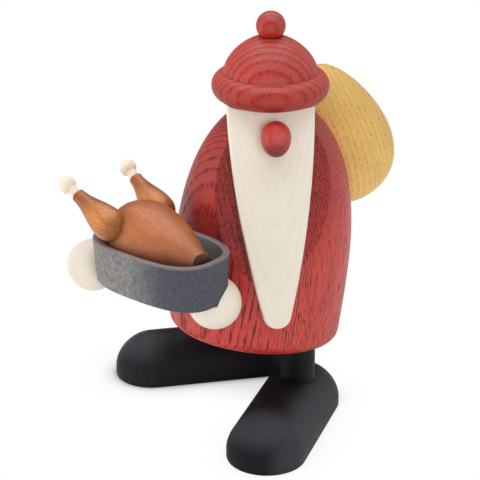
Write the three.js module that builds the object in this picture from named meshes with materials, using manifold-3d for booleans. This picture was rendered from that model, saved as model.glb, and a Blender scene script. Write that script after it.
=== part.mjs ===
// Turned wooden nisse with a sack on its back, carrying a roast goose in an oval pan.
// Millimetres, +Z up. The figure faces -Y and its left hand is on +X.
import * as THREE from 'three';
import { mergeVertices } from 'three/addons/utils/BufferGeometryUtils.js';
import Module from 'manifold-3d';

const wasm = await Module();
wasm.setup();

const RAD = Math.PI / 180;

// Fits between glued pieces
const SEAT_GAP = 0.3;
const DOWEL_FIT = 0.2;
const HOLE_END_GAP = 0.4;

// Coat: a turned body that leans back on its legs
const COAT_CLEARANCE = 35.2;
const COAT_LEAN = 8.25 * RAD;
const COAT_BASE_RADIUS = 41.2;
const COAT_BELLY_RADIUS = 42.1;
const COAT_BELLY_HEIGHT = 35.7;
const COAT_DOME_HEIGHT = 77.9;
const COAT_DOME_POWER = 2.3;
const COAT_EDGE_ROUNDING = 5.5;
const NECK_RADIUS = 15;
const NECK_RISE = 2;

// Face: a flat cut in the coat that the beard board is glued to
const HEAD_TURN = 51 * RAD;
const FACE_TILT = 26 * RAD;
const FACE_DROP = 33;
const FACE_SETOUT = 25.9;

// Beard board
const BEARD_THICKNESS = 5.5;
const BEARD_TOP_WIDTH = 40.4;
const BEARD_SHOULDER_WIDTH = 38.8;
const BEARD_SHOULDER_DROP = 29;
const BEARD_TOP_RISE = 34;
const BEARD_TIP_RADIUS = 6.3;
const BEARD_TIP_DROP = 66.8;
const BEARD_TIP_SLOPE = 15 * RAD;
const BEARD_TIP_PULL = 33;
const BEARD_SIDE_SHIFT = -1.9;
const BEARD_EDGE_BEVEL = 0.7;

// Nose: an egg with a flat seat, pinned through the beard
const NOSE_WIDTH = 13.8;
const NOSE_LENGTH = 16.6;
const NOSE_FULLNESS = -0.06;
const NOSE_PROUD = 11.5;
const NOSE_RISE = 19.1;
const NOSE_SIDE_SHIFT = -0.45;
const NOSE_DOWEL_RADIUS = 2;
const NOSE_DOWEL_IN_NOSE = 6;
const NOSE_DOWEL_IN_COAT = 8;

// Hat: brim roll and dome turned in one piece
const HAT_FORWARD = 5.9;
const BRIM_RING_RADIUS = 21;
const BRIM_ROLL_RADIUS = 6.5;
const HAT_DOME_RADIUS = 22.1;
const HAT_DOME_BASE = 12;
const HAT_DOME_RISE = 18.6;
const HAT_DOME_POWER = 1.75;
const HAT_TOP_FLAT_RADIUS = 5.6;
const HAT_DOWEL_RADIUS = 4;
const HAT_DOWEL_IN_HAT = 11;
const HAT_DOWEL_IN_COAT = 11;

// Bobble on the hat
const BOBBLE_RADIUS = 6.85;
const BOBBLE_SEAT_RADIUS = 5;
const BOBBLE_DOWEL_RADIUS = 1.75;
const BOBBLE_DOWEL_IN_BOBBLE = 7;
const BOBBLE_DOWEL_IN_HAT = 7;

// Sack: an egg let into the back of the coat
const SACK_LENGTH = 71.3;
const SACK_WIDTH = 53.2;
const SACK_FULLNESS = 0.278;
const SACK_FORWARD_LEAN_ANGLE = 11.3 * RAD;
const SACK_SIDE_LEAN_ANGLE = 11.5 * RAD;
const SACK_HEIGHT = 118.5;
const SACK_BEARING = 9 * RAD;
const SACK_LET_IN = 11.1;
const SACK_DOWEL_RADIUS = 4;
const SACK_DOWEL_IN_SACK = 13;
const SACK_DOWEL_IN_COAT = 13;

// Legs and shoes
const LEG_RADIUS = 8.25;
const LEG_SOCKET_IN_COAT = 16;
const LEG_SOCKET_IN_SHOE = 13;
const SHOE_LENGTH = 91.3;
const SHOE_WIDTH = 37.1;
const SHOE_HEIGHT = 21.7;
const SHOE_SIDE_HEIGHT = 4.4;
const SHOE_CROWN_POWER = 1.8;
const SHOE_TOP_FLAT = 2;
const LEG_TO_TOE = 62.7;
const LEFT_LEG_SIDE = 31;
const LEFT_LEG_BACK = 0;
const LEFT_TOE_OUT = 28.3 * RAD;
const LEFT_LEG_OUTSET = 1.2;
const RIGHT_LEG_SIDE = 25.4;
const RIGHT_LEG_BACK = 14.5;
const RIGHT_TOE_OUT = 30.8 * RAD;
const RIGHT_LEG_OUTSET = -2;

// Roasting pan
const PAN_BOTTOM_HEIGHT = 72.5;
const PAN_HEIGHT = 22.4;
const PAN_LENGTH = 67.4;
const PAN_WIDTH = 42.2;
const PAN_BASE_LENGTH = 66;
const PAN_BASE_WIDTH = 37;
const PAN_WALL = 3;
const PAN_FLOOR = 6;
const PAN_EDGE_ROUNDING = 0.8;
const PAN_OVAL_POWER = 2.8;
const PAN_SIDE = -2.1;
const PAN_TURN = 7.1 * RAD;
const PAN_DOWEL_RADIUS = 2;
const PAN_DOWEL_IN_COAT = 12;
const PAN_DOWEL_IN_PAN = 9;

// Hands: balls that hold the pan, the left under its back corner and the right at its end
const HAND_RADIUS = 12.3;
const LEFT_HAND_FROM_END = 9.1;
const LEFT_HAND_BACK = 9;
const LEFT_HAND_RISE = -3.2;
const RIGHT_HAND_PAST_END = 7.3;
const RIGHT_HAND_BACK = -2.4;
const RIGHT_HAND_RISE = 1;
const HAND_DOWEL_RADIUS = 1.75;
const HAND_DOWEL_IN_HAND = 8;
const LEFT_HAND_DOWEL_IN_PAN = 4.4;
const RIGHT_HAND_DOWEL_IN_PAN = 8;

// Goose: turned body, two drumsticks with pale bone ends
const GOOSE_LENGTH = 56;
const GOOSE_RADIUS = 16.8;
const GOOSE_NECK_RADIUS = 4.2;
const GOOSE_NECK_REACH = 27.5;
const GOOSE_FLARE_WIDTH = 1.2;
const GOOSE_FLARE_LENGTH = 2.4;
const GOOSE_CUT_TURN_ANGLE = 20 * RAD;
const GOOSE_CUT_TILT_ANGLE = 5 * RAD;
const GOOSE_WIDEST_SHARE = 0.66;
const GOOSE_TILT_ANGLE = 3 * RAD;
const GOOSE_TURN = 4 * RAD;
const GOOSE_ROLL = 3.5 * RAD;
const GOOSE_BELLY_FLAT = 0.3;
const GOOSE_DOWEL_RADIUS = 2.5;
const GOOSE_DOWEL_IN_PAN = 4;
const GOOSE_DOWEL_IN_GOOSE = 9;
const DRUMSTICK_LENGTH = 29.3;
const DRUMSTICK_RADIUS = 7.7;
const DRUMSTICK_END_RADIUS = 3.2;
const LEFT_DRUMSTICK_RISE_ANGLE = 24.5 * RAD;
const LEFT_DRUMSTICK_SPLAY = 8 * RAD;
const RIGHT_DRUMSTICK_RISE_ANGLE = 26.5 * RAD;
const RIGHT_DRUMSTICK_SPLAY = 6 * RAD;
const DRUMSTICK_SIDE = 15.5;
const DRUMSTICK_BACK = 17.7;
const DRUMSTICK_UP = 6.7;
const DRUMSTICK_DOWEL_RADIUS = 1.5;
const DRUMSTICK_DOWEL_IN_DRUMSTICK = 3.5;
const DRUMSTICK_DOWEL_IN_GOOSE = 9;
const BONE_NECK_RADIUS = 1.75;
const BONE_NECK_LENGTH = 4.2;
const BONE_KNOB_RADIUS = 4.1;
const BONE_KNOB_LENGTH = 6.8;
const BONE_TENON_RADIUS = 1.4;
const BONE_TENON_LENGTH = 6;

// Sides of the turned pieces, by size
const SIDES_LARGE = 40;
const SIDES_MEDIUM = 26;
const SIDES_SMALL = 18;
const SIDES_PEG = 12;

// Colours of the stained woods
const RED_ASH = { color: 0x9c3530, roughness: 0.55 };
const PALE_MAPLE = { color: 0xeaddca, roughness: 0.6 };
const GOLD_ASH = { color: 0xd2a75c, roughness: 0.55 };
const BLACK_STAIN = { color: 0x232325, roughness: 0.5 };
const GREY_STAIN = { color: 0x50535b, roughness: 0.6 };
const ROAST_BROWN = { color: 0xa9683c, roughness: 0.45 };
const DOWEL_BEECH = { color: 0xcfae86, roughness: 0.7 };

// A frame placed in its parent: turned about X first, then Y, then Z
function addFrame(parent, position, rotation = [0, 0, 0]) {
  const group = new THREE.Group();
  group.position.set(...position);
  group.rotation.set(...rotation, 'ZYX');
  parent.add(group);
  group.updateWorldMatrix(true, false);
  return group;
}

// A closed geometry drawn in a frame, as a solid in the figure's own frame
function solidOf(geometry, frame) {
  const bare = geometry.clone().applyMatrix4(frame.matrixWorld);
  bare.deleteAttribute('normal');
  bare.deleteAttribute('uv');
  const merged = mergeVertices(bare, 1e-4);
  const corners = [];
  const index = merged.index.array;
  for (let i = 0; i < index.length; i += 3) {
    const [a, b, c] = [index[i], index[i + 1], index[i + 2]];
    if (a !== b && b !== c && c !== a) corners.push(a, b, c);
  }
  return new wasm.Manifold(new wasm.Mesh({
    numProp: 3,
    vertProperties: new Float32Array(merged.attributes.position.array),
    triVerts: new Uint32Array(corners),
  }));
}

// A solid becomes a named piece carried by a frame
function addPiece(name, solid, frame, finish) {
  const { vertProperties, triVerts } = solid.getMesh();
  const geometry = new THREE.BufferGeometry();
  geometry.setAttribute('position', new THREE.BufferAttribute(new Float32Array(vertProperties), 3));
  geometry.setIndex(new THREE.BufferAttribute(new Uint32Array(triVerts), 1));
  geometry.applyMatrix4(frame.matrixWorld.clone().invert());
  geometry.computeVertexNormals();
  const mesh = new THREE.Mesh(geometry, new THREE.MeshStandardMaterial({ metalness: 0, ...finish }));
  mesh.name = name;
  frame.add(mesh);
}

// A turned solid about Z from [radius, height] points
function turned(points, sides) {
  const profile = points.map(([radius, height]) => new THREE.Vector2(radius, height));
  return new THREE.LatheGeometry(profile, sides).rotateX(Math.PI / 2);
}

// A round peg along Z between two heights
function peg(radius, low, high, sides = SIDES_PEG) {
  return turned([[0, low], [radius, low], [radius, high], [0, high]], sides);
}

// A dowel along Z of its frame: the piece itself, and the hole that takes it
function dowelAndHole(name, radius, low, high, frame) {
  addPiece(name, solidOf(peg(radius, low, high), frame), frame, DOWEL_BEECH);
  return solidOf(peg(radius + DOWEL_FIT, low - HOLE_END_GAP, high + HOLE_END_GAP), frame);
}

// A box that fills everything on the +Z side of its frame's XY plane, from a height on
function halfSpace(frame, from) {
  const size = 4 * COAT_BELLY_RADIUS;
  return solidOf(new THREE.BoxGeometry(size, size, size).translate(0, 0, from + size / 2), frame);
}

// A closed solid through rings of equal point count, from its first end to its last
function loft(rings) {
  const count = rings[0].length;
  const middle = (ring) => ring.reduce((sum, p) => sum.add(p), new THREE.Vector3()).divideScalar(count);
  const points = [...rings.flat(), middle(rings[0]), middle(rings.at(-1))];
  const lowMiddle = rings.length * count;
  const last = lowMiddle - count;
  const index = [];
  for (let j = 0; j < count; j += 1) {
    const next = (j + 1) % count;
    for (let row = 0; row < last; row += count) {
      index.push(row + j, row + next, row + count + next, row + j, row + count + next, row + count + j);
    }
    index.push(lowMiddle, next, j, lowMiddle + 1, last + j, last + next);
  }
  const geometry = new THREE.BufferGeometry().setFromPoints(points);
  geometry.setIndex(index);
  return geometry;
}

// The side of a superellipse dome, from its widest radius up to an end radius
function domeProfile(radius, base, rise, power, endRadius, steps) {
  const endAngle = Math.acos(Math.pow(endRadius / radius, power / 2));
  const points = [];
  for (let i = 0; i <= steps; i += 1) {
    const angle = (endAngle * i) / steps;
    const across = radius * Math.pow(Math.cos(angle), 2 / power);
    points.push([across, base + rise * Math.pow(Math.sin(angle), 2 / power)]);
  }
  return points;
}

// An egg about Z; a positive fullness makes its low end the fuller one
function eggProfile(length, width, fullness, steps) {
  const points = [];
  for (let i = 0; i <= steps; i += 1) {
    const angle = Math.PI * (1 - i / steps);
    const bulge = 1 - fullness * Math.cos(angle);
    points.push([(width / 2) * Math.abs(Math.sin(angle)) * bulge, (length / 2) * Math.cos(angle)]);
  }
  return points;
}

const figure = new THREE.Group();
figure.updateWorldMatrix(true, false);

// Coat: radius of the dome at a distance along the coat's axis, and its place at a height over the floor
function coatRadiusAt(along) {
  const share = Math.min(Math.max((along - COAT_BELLY_HEIGHT) / COAT_DOME_HEIGHT, 0), 1);
  return COAT_BELLY_RADIUS * Math.pow(1 - Math.pow(share, COAT_DOME_POWER), 1 / COAT_DOME_POWER);
}

function coatAxisAt(height) {
  return {
    back: (height - COAT_CLEARANCE) * Math.tan(COAT_LEAN),
    radius: coatRadiusAt((height - COAT_CLEARANCE) / Math.cos(COAT_LEAN)),
  };
}

function coatProfile(grow) {
  const rounding = COAT_EDGE_ROUNDING;
  const points = [[0, -grow]];
  const steps = 3;
  for (let i = 0; i <= steps; i += 1) {
    const angle = ((Math.PI / 2) * i) / steps;
    points.push([
      COAT_BASE_RADIUS - rounding + (rounding + grow) * Math.sin(angle),
      rounding - (rounding + grow) * Math.cos(angle),
    ]);
  }
  const dome = domeProfile(
    COAT_BELLY_RADIUS + grow, COAT_BELLY_HEIGHT, COAT_DOME_HEIGHT + grow, COAT_DOME_POWER, NECK_RADIUS + grow, 13,
  );
  const neckTop = COAT_BELLY_HEIGHT + COAT_DOME_HEIGHT + NECK_RADIUS;
  return [...points, ...dome, [NECK_RADIUS + grow, neckTop], [0, neckTop]];
}

const coatFrame = addFrame(figure, [0, 0, COAT_CLEARANCE], [-COAT_LEAN, 0, 0]);
const hatSeat = COAT_CLEARANCE + (COAT_BELLY_HEIGHT + COAT_DOME_HEIGHT) * Math.cos(COAT_LEAN) + NECK_RISE;
const hatFrame = addFrame(figure, [0, coatAxisAt(hatSeat).back - HAT_FORWARD, hatSeat]);
const faceHeight = hatSeat - FACE_DROP;
const faceFrame = addFrame(
  figure,
  [
    FACE_SETOUT * Math.sin(HEAD_TURN),
    coatAxisAt(faceHeight).back - FACE_SETOUT * Math.cos(HEAD_TURN),
    faceHeight,
  ],
  [-FACE_TILT, 0, HEAD_TURN],
);
const faceOut = addFrame(faceFrame, [0, 0, 0], [Math.PI / 2, 0, 0]);
const coatRoom = solidOf(turned(coatProfile(SEAT_GAP), SIDES_LARGE), coatFrame);
let coat = solidOf(turned(coatProfile(0), SIDES_LARGE), coatFrame)
  .subtract(halfSpace(hatFrame, -SEAT_GAP))
  .subtract(halfSpace(faceOut, 0));

// Hat and bobble
const brimSteps = 9;
const brimEnd = Math.acos((HAT_DOME_RADIUS - BRIM_RING_RADIUS) / BRIM_ROLL_RADIUS);
const hatProfile = [[0, 0]];
for (let i = 0; i <= brimSteps; i += 1) {
  const angle = -Math.PI / 2 + ((Math.PI / 2 + brimEnd) * i) / brimSteps;
  hatProfile.push([
    BRIM_RING_RADIUS + BRIM_ROLL_RADIUS * Math.cos(angle),
    BRIM_ROLL_RADIUS * (1 + Math.sin(angle)),
  ]);
}
const hatDome = domeProfile(HAT_DOME_RADIUS, HAT_DOME_BASE, HAT_DOME_RISE, HAT_DOME_POWER, HAT_TOP_FLAT_RADIUS, 8);
const hatTop = hatDome.at(-1)[1];
hatProfile.push(...hatDome, [0, hatTop]);

const bobbleSeatAngle = Math.asin(BOBBLE_SEAT_RADIUS / BOBBLE_RADIUS);
const bobbleSeat = BOBBLE_RADIUS * Math.cos(bobbleSeatAngle);
const bobbleFrame = addFrame(hatFrame, [0, 0, hatTop + SEAT_GAP + bobbleSeat]);
const hatTopFrame = addFrame(hatFrame, [0, 0, hatTop]);
const hatDowelHole = dowelAndHole('hat_dowel', HAT_DOWEL_RADIUS, -HAT_DOWEL_IN_COAT, HAT_DOWEL_IN_HAT, hatFrame);
const bobbleDowelHole = dowelAndHole(
  'bobble_dowel', BOBBLE_DOWEL_RADIUS, -BOBBLE_DOWEL_IN_HAT, BOBBLE_DOWEL_IN_BOBBLE, hatTopFrame,
);
coat = coat.subtract(hatDowelHole);
const hat = solidOf(turned(hatProfile, SIDES_LARGE), hatFrame).subtract(hatDowelHole).subtract(bobbleDowelHole);
addPiece('hat', hat, hatFrame, RED_ASH);

const bobbleDiameter = 2 * BOBBLE_RADIUS;
const underBobble = addFrame(bobbleFrame, [0, 0, 0], [Math.PI, 0, 0]);
const bobble = solidOf(turned(eggProfile(bobbleDiameter, bobbleDiameter, 0, 12), SIDES_SMALL), bobbleFrame)
  .subtract(halfSpace(underBobble, bobbleSeat))
  .subtract(bobbleDowelHole);
addPiece('hat_bobble', bobble, bobbleFrame, RED_ASH);

// Beard: a flat board on the cut face, its top under the hat
const beardFrame = addFrame(faceFrame, [BEARD_SIDE_SHIFT, -SEAT_GAP, 0]);
const halfTop = BEARD_TOP_WIDTH / 2;
const halfShoulder = BEARD_SHOULDER_WIDTH / 2;
const shoulder = BEARD_TOP_RISE - BEARD_SHOULDER_DROP;
const tipCentre = BEARD_TIP_RADIUS - BEARD_TIP_DROP;
const tipSide = BEARD_TIP_RADIUS * Math.cos(BEARD_TIP_SLOPE);
const tipLow = tipCentre - BEARD_TIP_RADIUS * Math.sin(BEARD_TIP_SLOPE);
const lowPullSide = tipSide + BEARD_TIP_PULL * Math.tan(BEARD_TIP_SLOPE);
const lowPull = tipLow + BEARD_TIP_PULL;
const underHat = BEARD_TOP_RISE + 2 * BEARD_THICKNESS;
const beardOutline = new THREE.Shape();
beardOutline.moveTo(halfTop, BEARD_TOP_RISE);
beardOutline.lineTo(halfTop, underHat);
beardOutline.lineTo(-halfTop, underHat);
beardOutline.lineTo(-halfTop, BEARD_TOP_RISE);
beardOutline.bezierCurveTo(-halfShoulder, shoulder, -lowPullSide, lowPull, -tipSide, tipLow);
beardOutline.absarc(0, tipCentre, BEARD_TIP_RADIUS, Math.PI + BEARD_TIP_SLOPE, 2 * Math.PI - BEARD_TIP_SLOPE, false);
beardOutline.bezierCurveTo(lowPullSide, lowPull, halfShoulder, shoulder, halfTop, BEARD_TOP_RISE);
const beardPoints = beardOutline.getPoints(11).filter((p, i, all) => p.distanceTo(all.at(i - 1)) > SEAT_GAP);
const beardBoard = new THREE.ExtrudeGeometry(new THREE.Shape(beardPoints), {
  depth: BEARD_THICKNESS - BEARD_EDGE_BEVEL,
  steps: 1,
  bevelEnabled: true,
  bevelThickness: BEARD_EDGE_BEVEL,
  bevelSize: BEARD_EDGE_BEVEL,
  bevelOffset: -BEARD_EDGE_BEVEL,
  bevelSegments: 2,
}).rotateX(Math.PI / 2);
const beardBack = addFrame(beardFrame, [0, 0, 0], [-Math.PI / 2, 0, 0]);

// Nose
const noseSeat = NOSE_PROUD - NOSE_WIDTH / 2;
const noseSide = NOSE_SIDE_SHIFT - BEARD_SIDE_SHIFT;
const noseFrame = addFrame(beardFrame, [noseSide, -BEARD_THICKNESS - SEAT_GAP - noseSeat, NOSE_RISE]);
const noseInward = addFrame(noseFrame, [0, noseSeat, 0], [-Math.PI / 2, 0, 0]);
const nosePinEnd = SEAT_GAP + BEARD_THICKNESS + SEAT_GAP + NOSE_DOWEL_IN_COAT;
const noseDowelHole = dowelAndHole('nose_dowel', NOSE_DOWEL_RADIUS, -NOSE_DOWEL_IN_NOSE, nosePinEnd, noseInward);
const nose = solidOf(turned(eggProfile(NOSE_LENGTH, NOSE_WIDTH, NOSE_FULLNESS, 12), SIDES_SMALL), noseFrame)
  .subtract(halfSpace(noseInward, 0))
  .subtract(noseDowelHole);
const beard = solidOf(beardBoard, beardFrame)
  .subtract(halfSpace(beardBack, 0))
  .subtract(halfSpace(hatFrame, -SEAT_GAP))
  .subtract(noseDowelHole);
coat = coat.subtract(noseDowelHole);
addPiece('beard', beard, beardFrame, PALE_MAPLE);
addPiece('nose', nose, noseFrame, RED_ASH);

// Sack, hollowed to sit on the coat's back
const coatAtSack = coatAxisAt(SACK_HEIGHT);
const sackReach = coatAtSack.radius + SACK_WIDTH / 2 - SACK_LET_IN;
const sackPlace = [
  -sackReach * Math.sin(SACK_BEARING), coatAtSack.back + sackReach * Math.cos(SACK_BEARING), SACK_HEIGHT,
];
const sackFrame = addFrame(figure, sackPlace, [SACK_FORWARD_LEAN_ANGLE, -SACK_SIDE_LEAN_ANGLE, 0]);
const sackInward = addFrame(figure, sackPlace, [Math.PI / 2, 0, SACK_BEARING]);
const sackToCoat = sackReach - coatAtSack.radius;
const sackDowelHole = dowelAndHole(
  'sack_dowel', SACK_DOWEL_RADIUS, sackToCoat - SACK_DOWEL_IN_SACK, sackToCoat + SACK_DOWEL_IN_COAT, sackInward,
);
const sack = solidOf(turned(eggProfile(SACK_LENGTH, SACK_WIDTH, SACK_FULLNESS, 16), SIDES_MEDIUM), sackFrame)
  .subtract(coatRoom)
  .subtract(sackDowelHole);
coat = coat.subtract(sackDowelHole);
addPiece('sack', sack, sackFrame, GOLD_ASH);

// Shoes: a long round-ended block with a rounded crown, and legs let into shoe and coat
function stadiumRing(radius, height) {
  const count = 32;
  const straight = SHOE_LENGTH - SHOE_WIDTH;
  const toeCentre = LEG_TO_TOE - SHOE_WIDTH / 2;
  const ring = [];
  for (let i = 0; i < count; i += 1) {
    const angle = (2 * Math.PI * (i + 0.5)) / count;
    const heelward = Math.sin(angle) > 0 ? straight : 0;
    ring.push(new THREE.Vector3(
      radius * Math.cos(angle), radius * Math.sin(angle) + heelward - toeCentre, height,
    ));
  }
  return ring;
}

const shoeCrown = domeProfile(
  SHOE_WIDTH / 2, SHOE_SIDE_HEIGHT, SHOE_HEIGHT - SHOE_SIDE_HEIGHT, SHOE_CROWN_POWER, SHOE_TOP_FLAT, 7,
);
const shoeGeometry = loft([[SHOE_WIDTH / 2, 0], ...shoeCrown].map(([radius, height]) => stadiumRing(radius, height)));
const legFloor = SHOE_HEIGHT - LEG_SOCKET_IN_SHOE;

function addLegAndShoe(name, sign, side, back, toeOut, outset) {
  const legFrame = addFrame(figure, [sign * side, back, 0], [0, 0, sign * toeOut]);
  const shoeFrame = addFrame(legFrame, [-sign * outset, 0, 0]);
  const legTop = COAT_CLEARANCE - back * Math.tan(COAT_LEAN) + LEG_SOCKET_IN_COAT;
  const socket = solidOf(
    peg(LEG_RADIUS + DOWEL_FIT, legFloor - HOLE_END_GAP, legTop + HOLE_END_GAP, SIDES_MEDIUM), legFrame,
  );
  addPiece(`${name}_leg`, solidOf(peg(LEG_RADIUS, legFloor, legTop, SIDES_MEDIUM), legFrame), legFrame, BLACK_STAIN);
  addPiece(`${name}_shoe`, solidOf(shoeGeometry, shoeFrame).subtract(socket), shoeFrame, BLACK_STAIN);
  coat = coat.subtract(socket);
}

addLegAndShoe('left', 1, LEFT_LEG_SIDE, LEFT_LEG_BACK, LEFT_TOE_OUT, LEFT_LEG_OUTSET);
addLegAndShoe('right', -1, RIGHT_LEG_SIDE, RIGHT_LEG_BACK, RIGHT_TOE_OUT, RIGHT_LEG_OUTSET);

// Roasting pan: a tapered oval with a thick floor, its back against the coat
function panRing(height, inset) {
  const count = 40;
  const share = height / PAN_HEIGHT;
  const halfLength = THREE.MathUtils.lerp(PAN_BASE_LENGTH, PAN_LENGTH, share) / 2 - inset;
  const halfWidth = THREE.MathUtils.lerp(PAN_BASE_WIDTH, PAN_WIDTH, share) / 2 - inset;
  const ring = [];
  for (let i = 0; i < count; i += 1) {
    const angle = (2 * Math.PI * i) / count;
    const [c, s] = [Math.cos(angle), Math.sin(angle)];
    const x = halfLength * Math.sign(c) * Math.pow(Math.abs(c), 2 / PAN_OVAL_POWER);
    const y = halfWidth * Math.sign(s) * Math.pow(Math.abs(s), 2 / PAN_OVAL_POWER);
    ring.push(new THREE.Vector3(x, y, height));
  }
  return ring;
}

function panShell(grow) {
  const round = PAN_EDGE_ROUNDING;
  const top = PAN_HEIGHT + grow;
  return loft([
    panRing(-grow, round - grow),
    panRing(round - grow, -grow),
    panRing(top - round, -grow),
    panRing(top, round - grow),
    panRing(top, PAN_WALL - round + grow),
    panRing(top - round, PAN_WALL + grow),
    panRing(PAN_FLOOR + grow, PAN_WALL + grow),
  ]);
}

const coatAtPan = coatAxisAt(PAN_BOTTOM_HEIGHT);
const coatFront = coatAtPan.back - coatAtPan.radius / Math.cos(COAT_LEAN);
const panBack = PAN_BASE_WIDTH / 2 / Math.cos(PAN_TURN);
const panFrame = addFrame(
  figure, [PAN_SIDE, coatFront - SEAT_GAP - panBack, PAN_BOTTOM_HEIGHT], [0, 0, PAN_TURN],
);
const panOutside = loft([panRing(-SEAT_GAP, -SEAT_GAP), panRing(PAN_HEIGHT + SEAT_GAP, -SEAT_GAP)]);
const panRoom = solidOf(panOutside, panFrame);
const panShellRoom = solidOf(panShell(SEAT_GAP), panFrame);
const panPinFrame = addFrame(figure, [PAN_SIDE, coatFront, PAN_BOTTOM_HEIGHT + PAN_FLOOR / 2], [Math.PI / 2, 0, 0]);
const panDowelHole = dowelAndHole(
  'pan_dowel', PAN_DOWEL_RADIUS, -PAN_DOWEL_IN_COAT, SEAT_GAP + PAN_DOWEL_IN_PAN, panPinFrame,
);
let pan = solidOf(panShell(0), panFrame).subtract(coatRoom).subtract(panDowelHole);
coat = coat.subtract(panDowelHole);

// Hands, each hollowed to the pan's outside
function handSolid(frame, hole) {
  const diameter = 2 * HAND_RADIUS;
  return solidOf(turned(eggProfile(diameter, diameter, 0, 12), SIDES_SMALL), frame)
    .subtract(panRoom)
    .subtract(coatRoom)
    .subtract(hole);
}

const leftHandAlong = PAN_LENGTH / 2 - LEFT_HAND_FROM_END;
const rightHandAlong = PAN_LENGTH / 2 + RIGHT_HAND_PAST_END;
const leftHandFrame = addFrame(panFrame, [leftHandAlong, LEFT_HAND_BACK, LEFT_HAND_RISE]);
const leftPinFrame = addFrame(panFrame, [leftHandAlong, LEFT_HAND_BACK, 0]);
const leftHandHole = dowelAndHole(
  'left_hand_dowel', HAND_DOWEL_RADIUS, -SEAT_GAP - HAND_DOWEL_IN_HAND, LEFT_HAND_DOWEL_IN_PAN, leftPinFrame,
);
const rightHandFrame = addFrame(panFrame, [-rightHandAlong, RIGHT_HAND_BACK, RIGHT_HAND_RISE]);
const rightPinFrame = addFrame(
  panFrame, [-PAN_BASE_LENGTH / 2, RIGHT_HAND_BACK, PAN_FLOOR / 2], [0, Math.PI / 2, 0],
);
const rightHandHole = dowelAndHole(
  'right_hand_dowel', HAND_DOWEL_RADIUS, -SEAT_GAP - HAND_DOWEL_IN_HAND, RIGHT_HAND_DOWEL_IN_PAN, rightPinFrame,
);
pan = pan.subtract(leftHandHole).subtract(rightHandHole);
addPiece('left_hand', handSolid(leftHandFrame, leftHandHole), leftHandFrame, PALE_MAPLE);
addPiece('right_hand', handSolid(rightHandFrame, rightHandHole), rightHandFrame, PALE_MAPLE);

// Goose body: its axis runs along the pan, neck end first, the neck flaring to a slanted cut
function gooseRadiusAt(along) {
  const share = along / GOOSE_LENGTH;
  const taper = Math.sin((Math.PI / 2) * Math.min(share / GOOSE_WIDEST_SHARE, 1));
  const past = Math.max(share - GOOSE_WIDEST_SHARE, 0) / (1 - GOOSE_WIDEST_SHARE);
  const flare = GOOSE_FLARE_WIDTH * Math.exp(-along / GOOSE_FLARE_LENGTH);
  const radius = THREE.MathUtils.lerp(GOOSE_NECK_RADIUS - GOOSE_FLARE_WIDTH, GOOSE_RADIUS, taper) + flare;
  return radius * Math.sqrt(1 - past ** 2);
}

function gooseProfile(grow) {
  const steps = 15;
  const start = -GOOSE_NECK_RADIUS - grow;
  const points = [[0, start], [GOOSE_NECK_RADIUS + grow, start]];
  for (let i = 0; i < steps; i += 1) {
    const along = (GOOSE_LENGTH * (1 - Math.cos((Math.PI * i) / steps))) / 2;
    points.push([gooseRadiusAt(along) + grow, along]);
  }
  points.push([0, GOOSE_LENGTH + grow]);
  return points;
}

const gooseWidest = GOOSE_LENGTH * GOOSE_WIDEST_SHARE - GOOSE_NECK_REACH;
const gooseAxisHeight = PAN_FLOOR + SEAT_GAP + GOOSE_RADIUS - GOOSE_BELLY_FLAT - gooseWidest * Math.sin(GOOSE_TILT_ANGLE);
const gooseFrame = addFrame(panFrame, [0, 0, gooseAxisHeight], [-GOOSE_ROLL, GOOSE_TILT_ANGLE, -GOOSE_TURN]);
const gooseAxisFrame = addFrame(gooseFrame, [GOOSE_NECK_REACH, 0, 0], [0, -Math.PI / 2, 0]);
const gooseRoom = solidOf(turned(gooseProfile(SEAT_GAP), SIDES_MEDIUM), gooseAxisFrame);
const goosePinFrame = addFrame(panFrame, [-gooseWidest, 0, PAN_FLOOR]);
const gooseDowelHole = dowelAndHole(
  'goose_dowel', GOOSE_DOWEL_RADIUS, -GOOSE_DOWEL_IN_PAN, SEAT_GAP + GOOSE_DOWEL_IN_GOOSE, goosePinFrame,
);
const neckCut = addFrame(
  gooseFrame, [GOOSE_NECK_REACH, 0, 0], [0, Math.PI / 2 - GOOSE_CUT_TILT_ANGLE, -GOOSE_CUT_TURN_ANGLE],
);
let goose = solidOf(turned(gooseProfile(0), SIDES_MEDIUM), gooseAxisFrame)
  .subtract(halfSpace(neckCut, 0))
  .subtract(panShellRoom)
  .subtract(gooseDowelHole);
pan = pan.subtract(gooseDowelHole);

// Drumsticks: turned drops against the flanks, each with a bone in its thin end
const drumstickShank = DRUMSTICK_LENGTH - DRUMSTICK_RADIUS;

function drumstickProfile() {
  const endSteps = 4;
  const shankSteps = 9;
  const points = [[0, -DRUMSTICK_RADIUS]];
  for (let i = 1; i <= endSteps; i += 1) {
    const angle = ((Math.PI / 2) * i) / endSteps;
    points.push([DRUMSTICK_RADIUS * Math.sin(angle), -DRUMSTICK_RADIUS * Math.cos(angle)]);
  }
  for (let i = 1; i <= shankSteps; i += 1) {
    const share = i / shankSteps;
    const slim = (1 - Math.cos(Math.PI * share)) / 2;
    points.push([THREE.MathUtils.lerp(DRUMSTICK_RADIUS, DRUMSTICK_END_RADIUS, slim), drumstickShank * share]);
  }
  return [...points, [0, drumstickShank]];
}

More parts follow.
